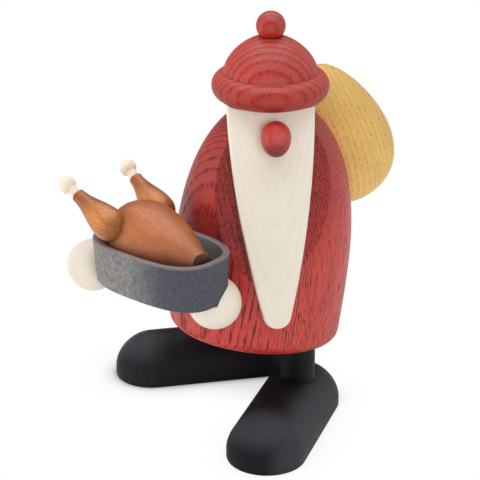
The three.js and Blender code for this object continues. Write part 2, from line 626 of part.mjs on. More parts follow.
function boneProfile() {
  const knobSteps = 7;
  const points = [
    [0, -BONE_TENON_LENGTH],
    [BONE_TENON_RADIUS, -BONE_TENON_LENGTH],
    [BONE_TENON_RADIUS, 0],
    [BONE_NECK_RADIUS, 0],
  ];
  const start = Math.PI - Math.asin(BONE_NECK_RADIUS / BONE_KNOB_RADIUS);
  for (let i = 0; i <= knobSteps; i += 1) {
    const angle = start * (1 - i / knobSteps);
    const rise = (BONE_KNOB_LENGTH * (Math.cos(angle) - Math.cos(start))) / (1 - Math.cos(start));
    points.push([BONE_KNOB_RADIUS * Math.sin(angle), BONE_NECK_LENGTH + rise]);
  }
  return points;
}

function addDrumstickAndBone(name, sign, rise, splay) {
  const place = [-DRUMSTICK_BACK, -sign * DRUMSTICK_SIDE, DRUMSTICK_UP];
  const drumFrame = addFrame(gooseFrame, place, [0, rise - Math.PI / 2, sign * splay]);
  const boneFrame = addFrame(drumFrame, [0, 0, drumstickShank + SEAT_GAP]);
  const pinFrame = addFrame(gooseFrame, place, [(-sign * Math.PI) / 2, 0, 0]);
  const pinHole = dowelAndHole(
    `${name}_drumstick_dowel`,
    DRUMSTICK_DOWEL_RADIUS,
    -DRUMSTICK_DOWEL_IN_DRUMSTICK,
    DRUMSTICK_DOWEL_IN_GOOSE,
    pinFrame,
  );
  const tenonHole = solidOf(
    peg(BONE_TENON_RADIUS + DOWEL_FIT, -BONE_TENON_LENGTH - HOLE_END_GAP, HOLE_END_GAP), boneFrame,
  );
  const drumstick = solidOf(turned(drumstickProfile(), SIDES_SMALL), drumFrame)
    .subtract(gooseRoom)
    .subtract(panShellRoom)
    .subtract(tenonHole)
    .subtract(pinHole);
  goose = goose.subtract(pinHole);
  addPiece(`${name}_drumstick`, drumstick, drumFrame, ROAST_BROWN);
  addPiece(`${name}_leg_bone`, solidOf(turned(boneProfile(), SIDES_SMALL), boneFrame), boneFrame, PALE_MAPLE);
}

addDrumstickAndBone('left', 1, LEFT_DRUMSTICK_RISE_ANGLE, LEFT_DRUMSTICK_SPLAY);
addDrumstickAndBone('right', -1, RIGHT_DRUMSTICK_RISE_ANGLE, RIGHT_DRUMSTICK_SPLAY);

addPiece('goose_body', goose, gooseFrame, ROAST_BROWN);
addPiece('roasting_pan', pan, panFrame, GREY_STAIN);
addPiece('coat_body', coat, coatFrame, RED_ASH);

// Origin on the floor under the middle of the whole figure
const nisse = new THREE.Group();
nisse.add(figure);
const extent = new THREE.Box3().setFromObject(figure, true);
const centre = extent.getCenter(new THREE.Vector3());
figure.position.set(-centre.x, -centre.y, -extent.min.z);
nisse.updateMatrixWorld(true);

export default nisse;
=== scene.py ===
import math

import bmesh
import bpy
from mathutils import Matrix, Vector


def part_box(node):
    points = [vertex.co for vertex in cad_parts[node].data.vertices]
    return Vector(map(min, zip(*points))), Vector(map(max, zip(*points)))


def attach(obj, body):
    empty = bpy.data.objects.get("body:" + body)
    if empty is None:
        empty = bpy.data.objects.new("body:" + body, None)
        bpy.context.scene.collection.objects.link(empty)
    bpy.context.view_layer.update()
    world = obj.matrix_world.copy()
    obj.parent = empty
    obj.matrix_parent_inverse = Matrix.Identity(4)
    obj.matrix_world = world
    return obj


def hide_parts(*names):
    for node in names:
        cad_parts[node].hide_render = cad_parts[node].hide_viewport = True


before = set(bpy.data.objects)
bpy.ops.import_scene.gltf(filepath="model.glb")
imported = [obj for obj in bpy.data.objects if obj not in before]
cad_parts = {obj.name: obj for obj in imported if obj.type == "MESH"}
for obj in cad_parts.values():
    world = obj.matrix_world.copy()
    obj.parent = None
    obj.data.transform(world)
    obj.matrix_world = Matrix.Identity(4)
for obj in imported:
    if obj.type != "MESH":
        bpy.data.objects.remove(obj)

MM = 0.001
RAD = math.pi / 180
ON_AXIS = 1e-6
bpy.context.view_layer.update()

# Sizes of the figure in millimetres, as the solids have them
SEAT_GAP = 0.3
DOWEL_FIT = 0.2
HOLE_END_GAP = 0.4
LEFT_LEG = (31, 0)
RIGHT_LEG = (-25.4, 14.5)
COAT_CLEARANCE = 35.2
COAT_LEAN = 8.25 * RAD
COAT_BASE_RADIUS = 41.2
COAT_BELLY_RADIUS = 42.1
COAT_BELLY_HEIGHT = 35.7
COAT_DOME_HEIGHT = 77.9
COAT_DOME_POWER = 2.3
COAT_EDGE_ROUNDING = 5.5
NECK_RADIUS = 15
NECK_RISE = 2
HEAD_TURN = 51 * RAD
FACE_TILT = 26 * RAD
FACE_DROP = 33
FACE_SETOUT = 25.9
HAT_FORWARD = 5.9
# Softening of the cut face's edge, not in the solids, and the cosine from which a direction meets it
FACET_SOFTNESS = 0.2
FACET_LEAST_COSINE = 0.05


def box_middle(name):
    low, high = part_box(name)
    return (low + high) / 2


# The figure's own origin, from the middle of the left leg
leg_middle = box_middle("left_leg")
FIGURE = Matrix.Translation(Vector((leg_middle.x - LEFT_LEG[0] * MM, leg_middle.y - LEFT_LEG[1] * MM, 0)))


def frame_at(parent, position, angles=(0, 0, 0)):
    rx, ry, rz = angles
    turn = Matrix.Rotation(rz, 4, "Z") @ Matrix.Rotation(ry, 4, "Y") @ Matrix.Rotation(rx, 4, "X")
    return parent @ Matrix.Translation(Vector(position) * MM) @ turn


def lerp(a, b, share):
    return a + (b - a) * share


# Meshes
def mesh_object(name, points, faces, place):
    mesh = bpy.data.meshes.new(name)
    mesh.from_pydata([tuple(c * MM for c in p) for p in points], [], faces)
    mesh.update()
    piece = bpy.data.objects.new(name, mesh)
    bpy.context.scene.collection.objects.link(piece)
    piece.matrix_world = place
    return piece


def loft(name, rings, place):
    """A closed skin through rings of equal point count. A ring of one point closes an end to a tip."""
    points = []
    starts = []
    for ring in rings:
        starts.append(len(points))
        points.extend(ring)
    faces = []
    for k in range(len(rings) - 1):
        low, high = rings[k], rings[k + 1]
        a, b = starts[k], starts[k + 1]
        count = max(len(low), len(high))
        for j in range(count):
            n = (j + 1) % count
            if len(low) == 1:
                faces.append((a, b + n, b + j))
            elif len(high) == 1:
                faces.append((a + j, a + n, b))
            else:
                faces.append((a + j, a + n, b + n, b + j))
    for ring, start, flip in ((rings[0], starts[0], True), (rings[-1], starts[-1], False)):
        if len(ring) > 1:
            cap = [start + j for j in range(len(ring))]
            faces.append(tuple(reversed(cap)) if flip else tuple(cap))
    return mesh_object(name, points, faces, place)


def circle(radius, height, sides):
    if radius < ON_AXIS:
        return [(0, 0, height)]
    turn = 2 * math.pi / sides
    return [(radius * math.cos(turn * i), radius * math.sin(turn * i), height) for i in range(sides)]


def turned(name, profile, place, sides):
    return loft(name, [circle(r, z, sides) for r, z in profile], place)


def peg(name, radius, low, high, place, sides=48, chamfer=0.4):
    profile = [(0, low), (radius - chamfer, low), (radius, low + chamfer)]
    profile += [(radius, high - chamfer), (radius - chamfer, high), (0, high)]
    return turned(name, profile, place, sides)


def carve(piece, *tools):
    """Cuts the tools' room out of a piece and removes the tools."""
    for tool in tools:
        cut = piece.modifiers.new("cut", "BOOLEAN")
        cut.operation = "DIFFERENCE"
        cut.solver = "EXACT"
        cut.object = tool
    bpy.context.view_layer.update()
    graph = bpy.context.evaluated_depsgraph_get()
    cut_mesh = bpy.data.meshes.new_from_object(piece.evaluated_get(graph))
    piece.modifiers.clear()
    old = piece.data
    piece.data = cut_mesh
    cut_mesh.name = old.name
    bpy.data.meshes.remove(old)
    for tool in tools:
        bpy.data.objects.remove(tool)


def slice_off(piece, point, normal, bevel=0):
    """Removes what lies on the normal's side of a plane given in the figure's frame, and closes the cut."""
    inverse = piece.matrix_world.inverted()
    local_point = inverse @ (FIGURE @ (Vector(point) * MM))
    local_normal = (inverse.to_3x3() @ Vector(normal)).normalized()
    shape = bmesh.new()
    shape.from_mesh(piece.data)
    geometry = shape.verts[:] + shape.edges[:] + shape.faces[:]
    cut = bmesh.ops.bisect_plane(
        shape, geom=geometry, plane_co=local_point, plane_no=local_normal, clear_outer=True
    )
    edges = [e for e in cut["geom_cut"] if isinstance(e, bmesh.types.BMEdge)]
    bmesh.ops.contextual_create(shape, geom=edges)
    if bevel:
        bmesh.ops.bevel(shape, geom=edges, offset=bevel * MM, segments=3, profile=0.5, affect="EDGES")
    shape.to_mesh(piece.data)
    shape.free()


def dome_profile(radius, base, rise, power, end_radius, steps):
    end = math.acos((end_radius / radius) ** (power / 2))
    points = []
    for i in range(steps + 1):
        angle = end * i / steps
        points.append((radius * math.cos(angle) ** (2 / power), base + rise * math.sin(angle) ** (2 / power)))
    return points


def egg_profile(length, width, fullness, steps):
    points = []
    for i in range(steps + 1):
        angle = math.pi * (1 - i / steps)
        bulge = 1 - fullness * math.cos(angle)
        across = 0 if i in (0, steps) else width / 2 * math.sin(angle) * bulge
        points.append((across, length / 2 * math.cos(angle)))
    return points


def ball_profile(radius, steps):
    return egg_profile(2 * radius, 2 * radius, 0, steps)


# Coat
def coat_radius_at(along):
    share = min(max((along - COAT_BELLY_HEIGHT) / COAT_DOME_HEIGHT, 0), 1)
    return COAT_BELLY_RADIUS * (1 - share ** COAT_DOME_POWER) ** (1 / COAT_DOME_POWER)


def coat_axis_at(height):
    back = (height - COAT_CLEARANCE) * math.tan(COAT_LEAN)
    return back, coat_radius_at((height - COAT_CLEARANCE) / math.cos(COAT_LEAN))


def coat_profile(grow):
    rounding = COAT_EDGE_ROUNDING
    points = [(0, -grow), (COAT_BASE_RADIUS / 2, -grow)]
    edge_steps = 10
    for i in range(edge_steps + 1):
        angle = math.pi / 2 * i / edge_steps
        points.append((
            COAT_BASE_RADIUS - rounding + (rounding + grow) * math.sin(angle),
            rounding - (rounding + grow) * math.cos(angle),
        ))
    side_steps = 34
    for i in range(1, side_steps):
        share = i / side_steps
        radius = lerp(COAT_BASE_RADIUS, COAT_BELLY_RADIUS, math.sin(math.pi / 2 * share))
        points.append((radius + grow, lerp(rounding, COAT_BELLY_HEIGHT, share)))
    points += dome_profile(
        COAT_BELLY_RADIUS + grow, COAT_BELLY_HEIGHT, COAT_DOME_HEIGHT + grow, COAT_DOME_POWER,
        NECK_RADIUS + grow, steps=110,
    )
    return points


coat_place = frame_at(FIGURE, (0, 0, COAT_CLEARANCE), (-COAT_LEAN, 0, 0))
HAT_SEAT = COAT_CLEARANCE + (COAT_BELLY_HEIGHT + COAT_DOME_HEIGHT) * math.cos(COAT_LEAN) + NECK_RISE
hat_place = frame_at(FIGURE, (0, coat_axis_at(HAT_SEAT)[0] - HAT_FORWARD, HAT_SEAT))
FACE_HEIGHT = HAT_SEAT - FACE_DROP
face_place = frame_at(
    FIGURE,
    (
        FACE_SETOUT * math.sin(HEAD_TURN),
        coat_axis_at(FACE_HEIGHT)[0] - FACE_SETOUT * math.cos(HEAD_TURN),
        FACE_HEIGHT,
    ),
    (-FACE_TILT, 0, HEAD_TURN),
)


def coat_angles():
    """Directions round the coat, closer together on the side of the face."""
    front = HEAD_TURN - math.pi / 2
    half = 80 * RAD
    near, far = 190, 90
    angles = [front - half + 2 * half * i / near for i in range(near)]
    rest = 2 * math.pi - 2 * half
    return angles + [front + half + rest * i / far for i in range(far)]


def soft_least(a, b, softness):
    low, high = min(a, b), max(a, b)
    return low - softness * math.log(1 + math.exp((low - high) / softness))


# The cut face in the coat's own frame: its outward direction and its distance
face_in_coat = coat_place.inverted() @ face_place
face_out = face_in_coat.to_3x3() @ Vector((0, -1, 0))
face_level = face_out.dot(face_in_coat.translation) / MM


def cut_radius(radius, angle, along):
    """The turned radius, or the distance to the cut face where that is less."""
    facing = face_out.x * math.cos(angle) + face_out.y * math.sin(angle)
    if facing <= FACET_LEAST_COSINE:
        return radius
    return soft_least(radius, (face_level - face_out.z * along) / facing, FACET_SOFTNESS)


def make_coat():
    angles = coat_angles()
    rings = []
    for radius, along in coat_profile(0):
        if radius == 0:
            rings.append([(0, 0, along)])
            continue
        ring = []
        for angle in angles:
            at = cut_radius(radius, angle, along)
            ring.append((at * math.cos(angle), at * math.sin(angle), along))
        rings.append(ring)
    rise = HAT_SEAT - SEAT_GAP - COAT_CLEARANCE
    top = []
    for angle in angles:
        at = cut_radius(NECK_RADIUS, angle, COAT_BELLY_HEIGHT + COAT_DOME_HEIGHT)
        y = at * math.sin(angle)
        top.append((at * math.cos(angle), y, (rise + y * math.sin(COAT_LEAN)) / math.cos(COAT_LEAN)))
    rings.append(top)
    return loft("coat", rings, coat_place)


def coat_room():
    """The room of the turned coat with a seat gap round it, as a tool."""
    profile = coat_profile(SEAT_GAP)
    top = COAT_BELLY_HEIGHT + COAT_DOME_HEIGHT + NECK_RADIUS
    profile += [(NECK_RADIUS + SEAT_GAP, top), (0, top)]
    return turned("room", profile, coat_place, sides=160)


coat = make_coat()

# Hat and bobble
BRIM_RING_RADIUS = 21
BRIM_ROLL_RADIUS = 6.5
HAT_DOME_RADIUS = 22.1
HAT_DOME_BASE = 12
HAT_DOME_RISE = 18.6
HAT_DOME_POWER = 1.75
HAT_TOP_FLAT_RADIUS = 5.6
BOBBLE_RADIUS = 6.85
BOBBLE_SEAT_RADIUS = 5


def hat_profile():
    steps = 40
    end = math.acos((HAT_DOME_RADIUS - BRIM_RING_RADIUS) / BRIM_ROLL_RADIUS)
    points = [(0, 0), (BRIM_RING_RADIUS / 2, 0)]
    for i in range(steps + 1):
        angle = -math.pi / 2 + (math.pi / 2 + end) * i / steps
        points.append((
            BRIM_RING_RADIUS + BRIM_ROLL_RADIUS * math.cos(angle),
            BRIM_ROLL_RADIUS * (1 + math.sin(angle)),
        ))
    dome = dome_profile(
        HAT_DOME_RADIUS, HAT_DOME_BASE, HAT_DOME_RISE, HAT_DOME_POWER, HAT_TOP_FLAT_RADIUS, steps=56
    )
    return points + dome + [(0, dome[-1][1])], dome[-1][1]


def brim_room():
    """The rolled brim's own room with a seat gap round it, as a tool."""
    reach = BRIM_ROLL_RADIUS + SEAT_GAP
    points = [(0, -SEAT_GAP), (BRIM_RING_RADIUS / 2, -SEAT_GAP)]
    steps = 60
    for i in range(steps + 1):
        angle = math.pi * (i / steps - 0.5)
        points.append((
            BRIM_RING_RADIUS + reach * math.cos(angle),
            BRIM_ROLL_RADIUS + reach * math.sin(angle),
        ))
    points.append((0, BRIM_ROLL_RADIUS + reach))
    return turned("room", points, hat_place, sides=144)


profile, HAT_TOP = hat_profile()
hat = turned("hat_turned", profile, hat_place, sides=144)
bobble_seat = math.sqrt(BOBBLE_RADIUS ** 2 - BOBBLE_SEAT_RADIUS ** 2)
bobble_place = frame_at(hat_place, (0, 0, HAT_TOP + SEAT_GAP + bobble_seat))
ball = [(r, z) for r, z in ball_profile(BOBBLE_RADIUS, steps=48) if z > -bobble_seat]
seat = [(0, -bobble_seat), (BOBBLE_SEAT_RADIUS, -bobble_seat)]
bobble = turned("bobble", seat + ball, bobble_place, sides=72)

# Beard and nose
BEARD_THICKNESS = 5.5
BEARD_TOP_WIDTH = 40.4
BEARD_SHOULDER_WIDTH = 38.8
BEARD_SHOULDER_DROP = 29
BEARD_TOP_RISE = 34
BEARD_TIP_RADIUS = 6.3
BEARD_TIP_DROP = 66.8
BEARD_TIP_SLOPE = 15 * RAD
BEARD_TIP_PULL = 33
BEARD_SIDE_SHIFT = -1.9
BEARD_EDGE_ROUNDING = 0.9
BEARD_BACK_EDGE = 0.2
NOSE_WIDTH = 13.8
NOSE_LENGTH = 16.6
NOSE_FULLNESS = -0.06
NOSE_PROUD = 11.5
NOSE_RISE = 19.1
NOSE_SIDE_SHIFT = -0.45


def bezier(a, b, c, d, steps):
    points = []
    for i in range(steps + 1):
        t = i / steps
        s = 1 - t
        points.append(tuple(
            s ** 3 * a[k] + 3 * s * s * t * b[k] + 3 * s * t * t * c[k] + t ** 3 * d[k] for k in (0, 1)
        ))
    return points


def beard_outline():
    half_top = BEARD_TOP_WIDTH / 2
    half_shoulder = BEARD_SHOULDER_WIDTH / 2
    shoulder = BEARD_TOP_RISE - BEARD_SHOULDER_DROP
    tip_centre = BEARD_TIP_RADIUS - BEARD_TIP_DROP
    tip_side = BEARD_TIP_RADIUS * math.cos(BEARD_TIP_SLOPE)
    tip_low = tip_centre - BEARD_TIP_RADIUS * math.sin(BEARD_TIP_SLOPE)
    pull_side = tip_side + BEARD_TIP_PULL * math.tan(BEARD_TIP_SLOPE)
    pull = tip_low + BEARD_TIP_PULL
    over_cut = BEARD_TOP_RISE + 2 * BEARD_THICKNESS
    right = bezier(
        (half_top, BEARD_TOP_RISE), (half_shoulder, shoulder),
        (pull_side, pull), (tip_side, tip_low), steps=60,
    )
    arc_steps = 24
    arc = []
    for i in range(1, arc_steps):
        angle = lerp(-BEARD_TIP_SLOPE, BEARD_TIP_SLOPE - math.pi, i / arc_steps)
        arc.append((BEARD_TIP_RADIUS * math.cos(angle), tip_centre + BEARD_TIP_RADIUS * math.sin(angle)))
    left = [(-x, z) for x, z in reversed(right)]
    return [(half_top, over_cut)] + right + arc + left + [(-half_top, over_cut)]


def inset_ring(outline, inset, depth):
    ring = []
    count = len(outline)
    for i in range(count):
        before, after = outline[i - 1], outline[(i + 1) % count]
        along = Vector((after[0] - before[0], after[1] - before[1])).normalized()
        ring.append((outline[i][0] + along.y * inset, -depth, outline[i][1] - along.x * inset))
    return ring


beard_place = frame_at(face_place, (BEARD_SIDE_SHIFT, -SEAT_GAP, 0))


def make_beard():
    outline = beard_outline()
    rounding = BEARD_EDGE_ROUNDING
    rings = [inset_ring(outline, BEARD_BACK_EDGE, 0), inset_ring(outline, 0, BEARD_BACK_EDGE)]
    steps = 6
    for i in range(steps + 1):
        angle = math.pi / 2 * i / steps
        depth = BEARD_THICKNESS - rounding + rounding * math.sin(angle)
        rings.append(inset_ring(outline, rounding * (1 - math.cos(angle)), depth))
    piece = loft("beard_board", rings, beard_place)
    slice_off(piece, (0, 0, HAT_SEAT + BRIM_ROLL_RADIUS / 2), (0, 0, 1))
    # The top edge follows the rolled brim, where the solid is cut flat
    carve(piece, brim_room())
    return piece


beard = make_beard()
nose_seat = NOSE_PROUD - NOSE_WIDTH / 2
nose_side = NOSE_SIDE_SHIFT - BEARD_SIDE_SHIFT
nose_place = frame_at(beard_place, (nose_side, -BEARD_THICKNESS - SEAT_GAP - nose_seat, NOSE_RISE))
nose_profile = egg_profile(NOSE_LENGTH, NOSE_WIDTH, NOSE_FULLNESS, steps=56)
nose = turned("nose_egg", nose_profile, nose_place, sides=80)
seat_point = FIGURE.inverted() @ nose_place @ (Vector((0, nose_seat, 0)) * MM)
slice_off(nose, seat_point / MM, nose_place.to_3x3() @ Vector((0, 1, 0)))

# Sack
SACK_LENGTH = 71.3
SACK_WIDTH = 53.2
SACK_FULLNESS = 0.278
SACK_FORWARD_LEAN = 11.3 * RAD
SACK_SIDE_LEAN = 11.5 * RAD
SACK_HEIGHT = 118.5
SACK_BEARING = 9 * RAD
SACK_LET_IN = 11.1
coat_back, coat_radius = coat_axis_at(SACK_HEIGHT)
sack_reach = coat_radius + SACK_WIDTH / 2 - SACK_LET_IN
sack_place = frame_at(
    FIGURE,
    (-sack_reach * math.sin(SACK_BEARING), coat_back + sack_reach * math.cos(SACK_BEARING), SACK_HEIGHT),
    (SACK_FORWARD_LEAN, -SACK_SIDE_LEAN, 0),
)
sack_profile = egg_profile(SACK_LENGTH, SACK_WIDTH, SACK_FULLNESS, steps=96)
sack = turned("sack_egg", sack_profile, sack_place, sides=128)
carve(sack, coat_room())

# Legs and shoes
LEG_RADIUS = 8.25
LEG_SOCKET_IN_COAT = 16
LEG_SOCKET_IN_SHOE = 13
SHOE_LENGTH = 91.3
SHOE_WIDTH = 37.1
SHOE_HEIGHT = 21.7
SHOE_SIDE_HEIGHT = 4.4
SHOE_CROWN_POWER = 1.8
SHOE_TOP_FLAT = 0.6
SHOE_SOLE_ROUNDING = 0.7
SHOE_SOLE_CORNER = 0.3
LEG_TO_TOE = 62.7
LEFT_TOE_OUT = 28.3 * RAD
RIGHT_TOE_OUT = 30.8 * RAD
LEFT_SHOE_OUTSET = 1.2
RIGHT_SHOE_OUTSET = -2


def stadium_ring(radius, height):
    half = 48
    straight = SHOE_LENGTH - SHOE_WIDTH
    straight_steps = 30
    toe_centre = LEG_TO_TOE - SHOE_WIDTH / 2
    heel_centre = straight - toe_centre
    ring = []
    for i in range(half + 1):
        angle = math.pi * i / half
        ring.append((radius * math.cos(angle), radius * math.sin(angle) + heel_centre, height))
    for i in range(1, straight_steps):
        ring.append((-radius, lerp(heel_centre, -toe_centre, i / straight_steps), height))
    for i in range(half + 1):
        angle = math.pi + math.pi * i / half
        ring.append((radius * math.cos(angle), radius * math.sin(angle) - toe_centre, height))
    for i in range(1, straight_steps):
        ring.append((radius, lerp(-toe_centre, heel_centre, i / straight_steps), height))
    return ring


def make_leg_and_shoe(name, sign, spot, toe_out, outset):
    leg_place = frame_at(FIGURE, (spot[0], spot[1], 0), (0, 0, sign * toe_out))
    shoe_place = frame_at(leg_place, (-sign * outset, 0, 0))
    leg_floor = SHOE_HEIGHT - LEG_SOCKET_IN_SHOE
    leg_top = COAT_CLEARANCE - spot[1] * math.tan(COAT_LEAN) + LEG_SOCKET_IN_COAT
    half = SHOE_WIDTH / 2
    crown_rise = SHOE_HEIGHT - SHOE_SIDE_HEIGHT
    crown = dome_profile(half, SHOE_SIDE_HEIGHT, crown_rise, SHOE_CROWN_POWER, SHOE_TOP_FLAT, steps=40)
    corner = SHOE_SOLE_ROUNDING * SHOE_SOLE_CORNER
    sole = [(half - SHOE_SOLE_ROUNDING, 0), (half - corner, corner), (half, SHOE_SOLE_ROUNDING)]
    shoe = loft(name + "_shoe_block", [stadium_ring(r, z) for r, z in sole + crown], shoe_place)
    socket_low, socket_high = leg_floor - HOLE_END_GAP, leg_top + HOLE_END_GAP
    for holder in (shoe, coat):
        room = peg(
            "room", LEG_RADIUS + DOWEL_FIT, socket_low, socket_high, leg_place, sides=96, chamfer=0.1
        )
        carve(holder, room)
    leg = peg(name + "_leg_peg", LEG_RADIUS, leg_floor, leg_top, leg_place, sides=96)
    return leg, shoe


left_leg, left_shoe = make_leg_and_shoe("left", 1, LEFT_LEG, LEFT_TOE_OUT, LEFT_SHOE_OUTSET)
right_leg, right_shoe = make_leg_and_shoe("right", -1, RIGHT_LEG, RIGHT_TOE_OUT, RIGHT_SHOE_OUTSET)

# Roasting pan and hands
PAN_BOTTOM_HEIGHT = 72.5
PAN_HEIGHT = 22.4
PAN_LENGTH = 67.4
PAN_WIDTH = 42.2
PAN_BASE_LENGTH = 66
PAN_BASE_WIDTH = 37
PAN_WALL = 3
PAN_FLOOR = 6
PAN_EDGE_ROUNDING = 0.9
PAN_OVAL_POWER = 2.8
PAN_SIDE = -2.1
PAN_TURN = 7.1 * RAD
HAND_RADIUS = 12.3
LEFT_HAND_FROM_END = 9.1
LEFT_HAND_BACK = 9
LEFT_HAND_RISE = -3.2
RIGHT_HAND_PAST_END = 7.3
RIGHT_HAND_BACK = -2.4
RIGHT_HAND_RISE = 1


def pan_ring(height, inset):
    count = 160
    share = height / PAN_HEIGHT
    half_length = lerp(PAN_BASE_LENGTH, PAN_LENGTH, share) / 2 - inset
    half_width = lerp(PAN_BASE_WIDTH, PAN_WIDTH, share) / 2 - inset
    ring = []
    for i in range(count):
        c, s = math.cos(2 * math.pi * i / count), math.sin(2 * math.pi * i / count)
        x = half_length * math.copysign(abs(c) ** (2 / PAN_OVAL_POWER), c)
        y = half_width * math.copysign(abs(s) ** (2 / PAN_OVAL_POWER), s)
        ring.append((x, y, height))
    return ring


def quarter(steps=5):
    return [math.pi / 2 * i / steps for i in range(steps + 1)]


def pan_rings(grow):
    edge = PAN_EDGE_ROUNDING
    top = PAN_HEIGHT + grow
    wall = PAN_WALL + grow
    floor = PAN_FLOOR + grow
    outside_steps, inside_steps = 12, 8
    rings = []
    for a in quarter():
        rings.append(pan_ring(edge * (1 - math.cos(a)) - grow, edge * (1 - math.sin(a)) - grow))
    for i in range(1, outside_steps):
        rings.append(pan_ring(lerp(edge, top - edge, i / outside_steps), -grow))
    for a in quarter():
        rings.append(pan_ring(top - edge * (1 - math.sin(a)), edge * (1 - math.cos(a)) - grow))
    for a in quarter():
        rings.append(pan_ring(top - edge * (1 - math.cos(a)), wall - edge * (1 - math.sin(a))))
    for i in range(1, inside_steps):
        rings.append(pan_ring(lerp(top - edge, floor + edge, i / inside_steps), wall))
    for a in quarter():
        rings.append(pan_ring(floor + edge * (1 - math.sin(a)), wall + edge * (1 - math.cos(a))))
    return rings


pan_back_y, pan_coat_radius = coat_axis_at(PAN_BOTTOM_HEIGHT)
coat_front = pan_back_y - pan_coat_radius / math.cos(COAT_LEAN)
pan_place = frame_at(
    FIGURE,
    (PAN_SIDE, coat_front - SEAT_GAP - PAN_BASE_WIDTH / 2 / math.cos(PAN_TURN), PAN_BOTTOM_HEIGHT),
    (0, 0, PAN_TURN),
)


def pan_shell_room():
    return loft("room", pan_rings(SEAT_GAP), pan_place)


def pan_block_room():
    low = pan_ring(-SEAT_GAP, -SEAT_GAP)
    high = pan_ring(PAN_HEIGHT + SEAT_GAP, -SEAT_GAP)
    return loft("room", [low, high], pan_place)


pan = loft("pan_shell", pan_rings(0), pan_place)
carve(pan, coat_room())


def make_hand(name, place):
    hand = turned(name, ball_profile(HAND_RADIUS, steps=64), place, sides=96)
    carve(hand, pan_block_room(), coat_room())
    return hand


left_hand_place = frame_at(pan_place, (PAN_LENGTH / 2 - LEFT_HAND_FROM_END, LEFT_HAND_BACK, LEFT_HAND_RISE))
right_hand_place = frame_at(
    pan_place, (-PAN_LENGTH / 2 - RIGHT_HAND_PAST_END, RIGHT_HAND_BACK, RIGHT_HAND_RISE)
)
left_hand = make_hand("left_hand_ball", left_hand_place)
right_hand = make_hand("right_hand_ball", right_hand_place)

# Goose with drumsticks and bones
GOOSE_LENGTH = 56
GOOSE_RADIUS = 16.8
GOOSE_NECK_RADIUS = 4.2
GOOSE_NECK_REACH = 27.5
GOOSE_FLARE_WIDTH = 1.2
GOOSE_FLARE_LENGTH = 2.4
GOOSE_CUT_TURN = 20 * RAD
GOOSE_CUT_TILT = 5 * RAD
GOOSE_WIDEST_SHARE = 0.66
GOOSE_TILT = 3 * RAD
GOOSE_TURN = 4 * RAD
GOOSE_ROLL = 3.5 * RAD
GOOSE_BELLY_FLAT = 0.3
GOOSE_CUT_EDGE = 0.3
DRUMSTICK_LENGTH = 29.3
DRUMSTICK_RADIUS = 7.7
DRUMSTICK_END_RADIUS = 3.2
DRUMSTICK_SIDE = 15.5
DRUMSTICK_BACK = 17.7
DRUMSTICK_UP = 6.7
DRUMSTICK_END_EDGE = 0.3
LEFT_DRUMSTICK_RISE = 24.5 * RAD
LEFT_DRUMSTICK_SPLAY = 8 * RAD
RIGHT_DRUMSTICK_RISE = 26.5 * RAD
RIGHT_DRUMSTICK_SPLAY = 6 * RAD
# The bones' necks flare into the knob, where the solids have plain ones
BONE_NECK_RADIUS = 2.1
BONE_NECK_FLARE = 0.1
BONE_LENGTH = 10.5
BONE_KNOB_RADIUS = 4.1
BONE_KNOB_RISE = 6.3
BONE_SHOULDER = 3.4
BONE_FILLET = 0.3
BONE_TENON_RADIUS = 1.4
BONE_TENON_LENGTH = 6


def goose_radius(along):
    share = along / GOOSE_LENGTH
    taper = math.sin(math.pi / 2 * min(share / GOOSE_WIDEST_SHARE, 1))
    past = max(share - GOOSE_WIDEST_SHARE, 0) / (1 - GOOSE_WIDEST_SHARE)
    flare = GOOSE_FLARE_WIDTH * math.exp(-along / GOOSE_FLARE_LENGTH)
    radius = lerp(GOOSE_NECK_RADIUS - GOOSE_FLARE_WIDTH, GOOSE_RADIUS, taper) + flare
    return radius * math.sqrt(max(1 - past * past, 0))


def goose_profile(grow):
    steps = 80
    start = -GOOSE_NECK_RADIUS - grow
    points = [(0, start), (GOOSE_NECK_RADIUS + grow, start)]
    for i in range(steps):
        along = GOOSE_LENGTH * (1 - math.cos(math.pi * i / steps)) / 2
        points.append((goose_radius(along) + grow, along))
    points.append((0, GOOSE_LENGTH + grow))
    return points


goose_widest = GOOSE_LENGTH * GOOSE_WIDEST_SHARE - GOOSE_NECK_REACH
goose_height = PAN_FLOOR + SEAT_GAP + GOOSE_RADIUS - GOOSE_BELLY_FLAT - goose_widest * math.sin(GOOSE_TILT)
goose_place = frame_at(pan_place, (0, 0, goose_height), (-GOOSE_ROLL, GOOSE_TILT, -GOOSE_TURN))
goose_axis_place = frame_at(goose_place, (GOOSE_NECK_REACH, 0, 0), (0, -math.pi / 2, 0))


def goose_room():
    return turned("room", goose_profile(SEAT_GAP), goose_axis_place, sides=96)


goose = turned("goose", goose_profile(0), goose_axis_place, sides=112)
neck_cut = frame_at(goose_place, (GOOSE_NECK_REACH, 0, 0), (0, math.pi / 2 - GOOSE_CUT_TILT, -GOOSE_CUT_TURN))
cut_point = FIGURE.inverted() @ neck_cut.translation
cut_out = neck_cut.to_3x3() @ Vector((0, 0, 1))
slice_off(goose, cut_point / MM, cut_out, GOOSE_CUT_EDGE)
carve(goose, pan_shell_room())
SHANK = DRUMSTICK_LENGTH - DRUMSTICK_RADIUS


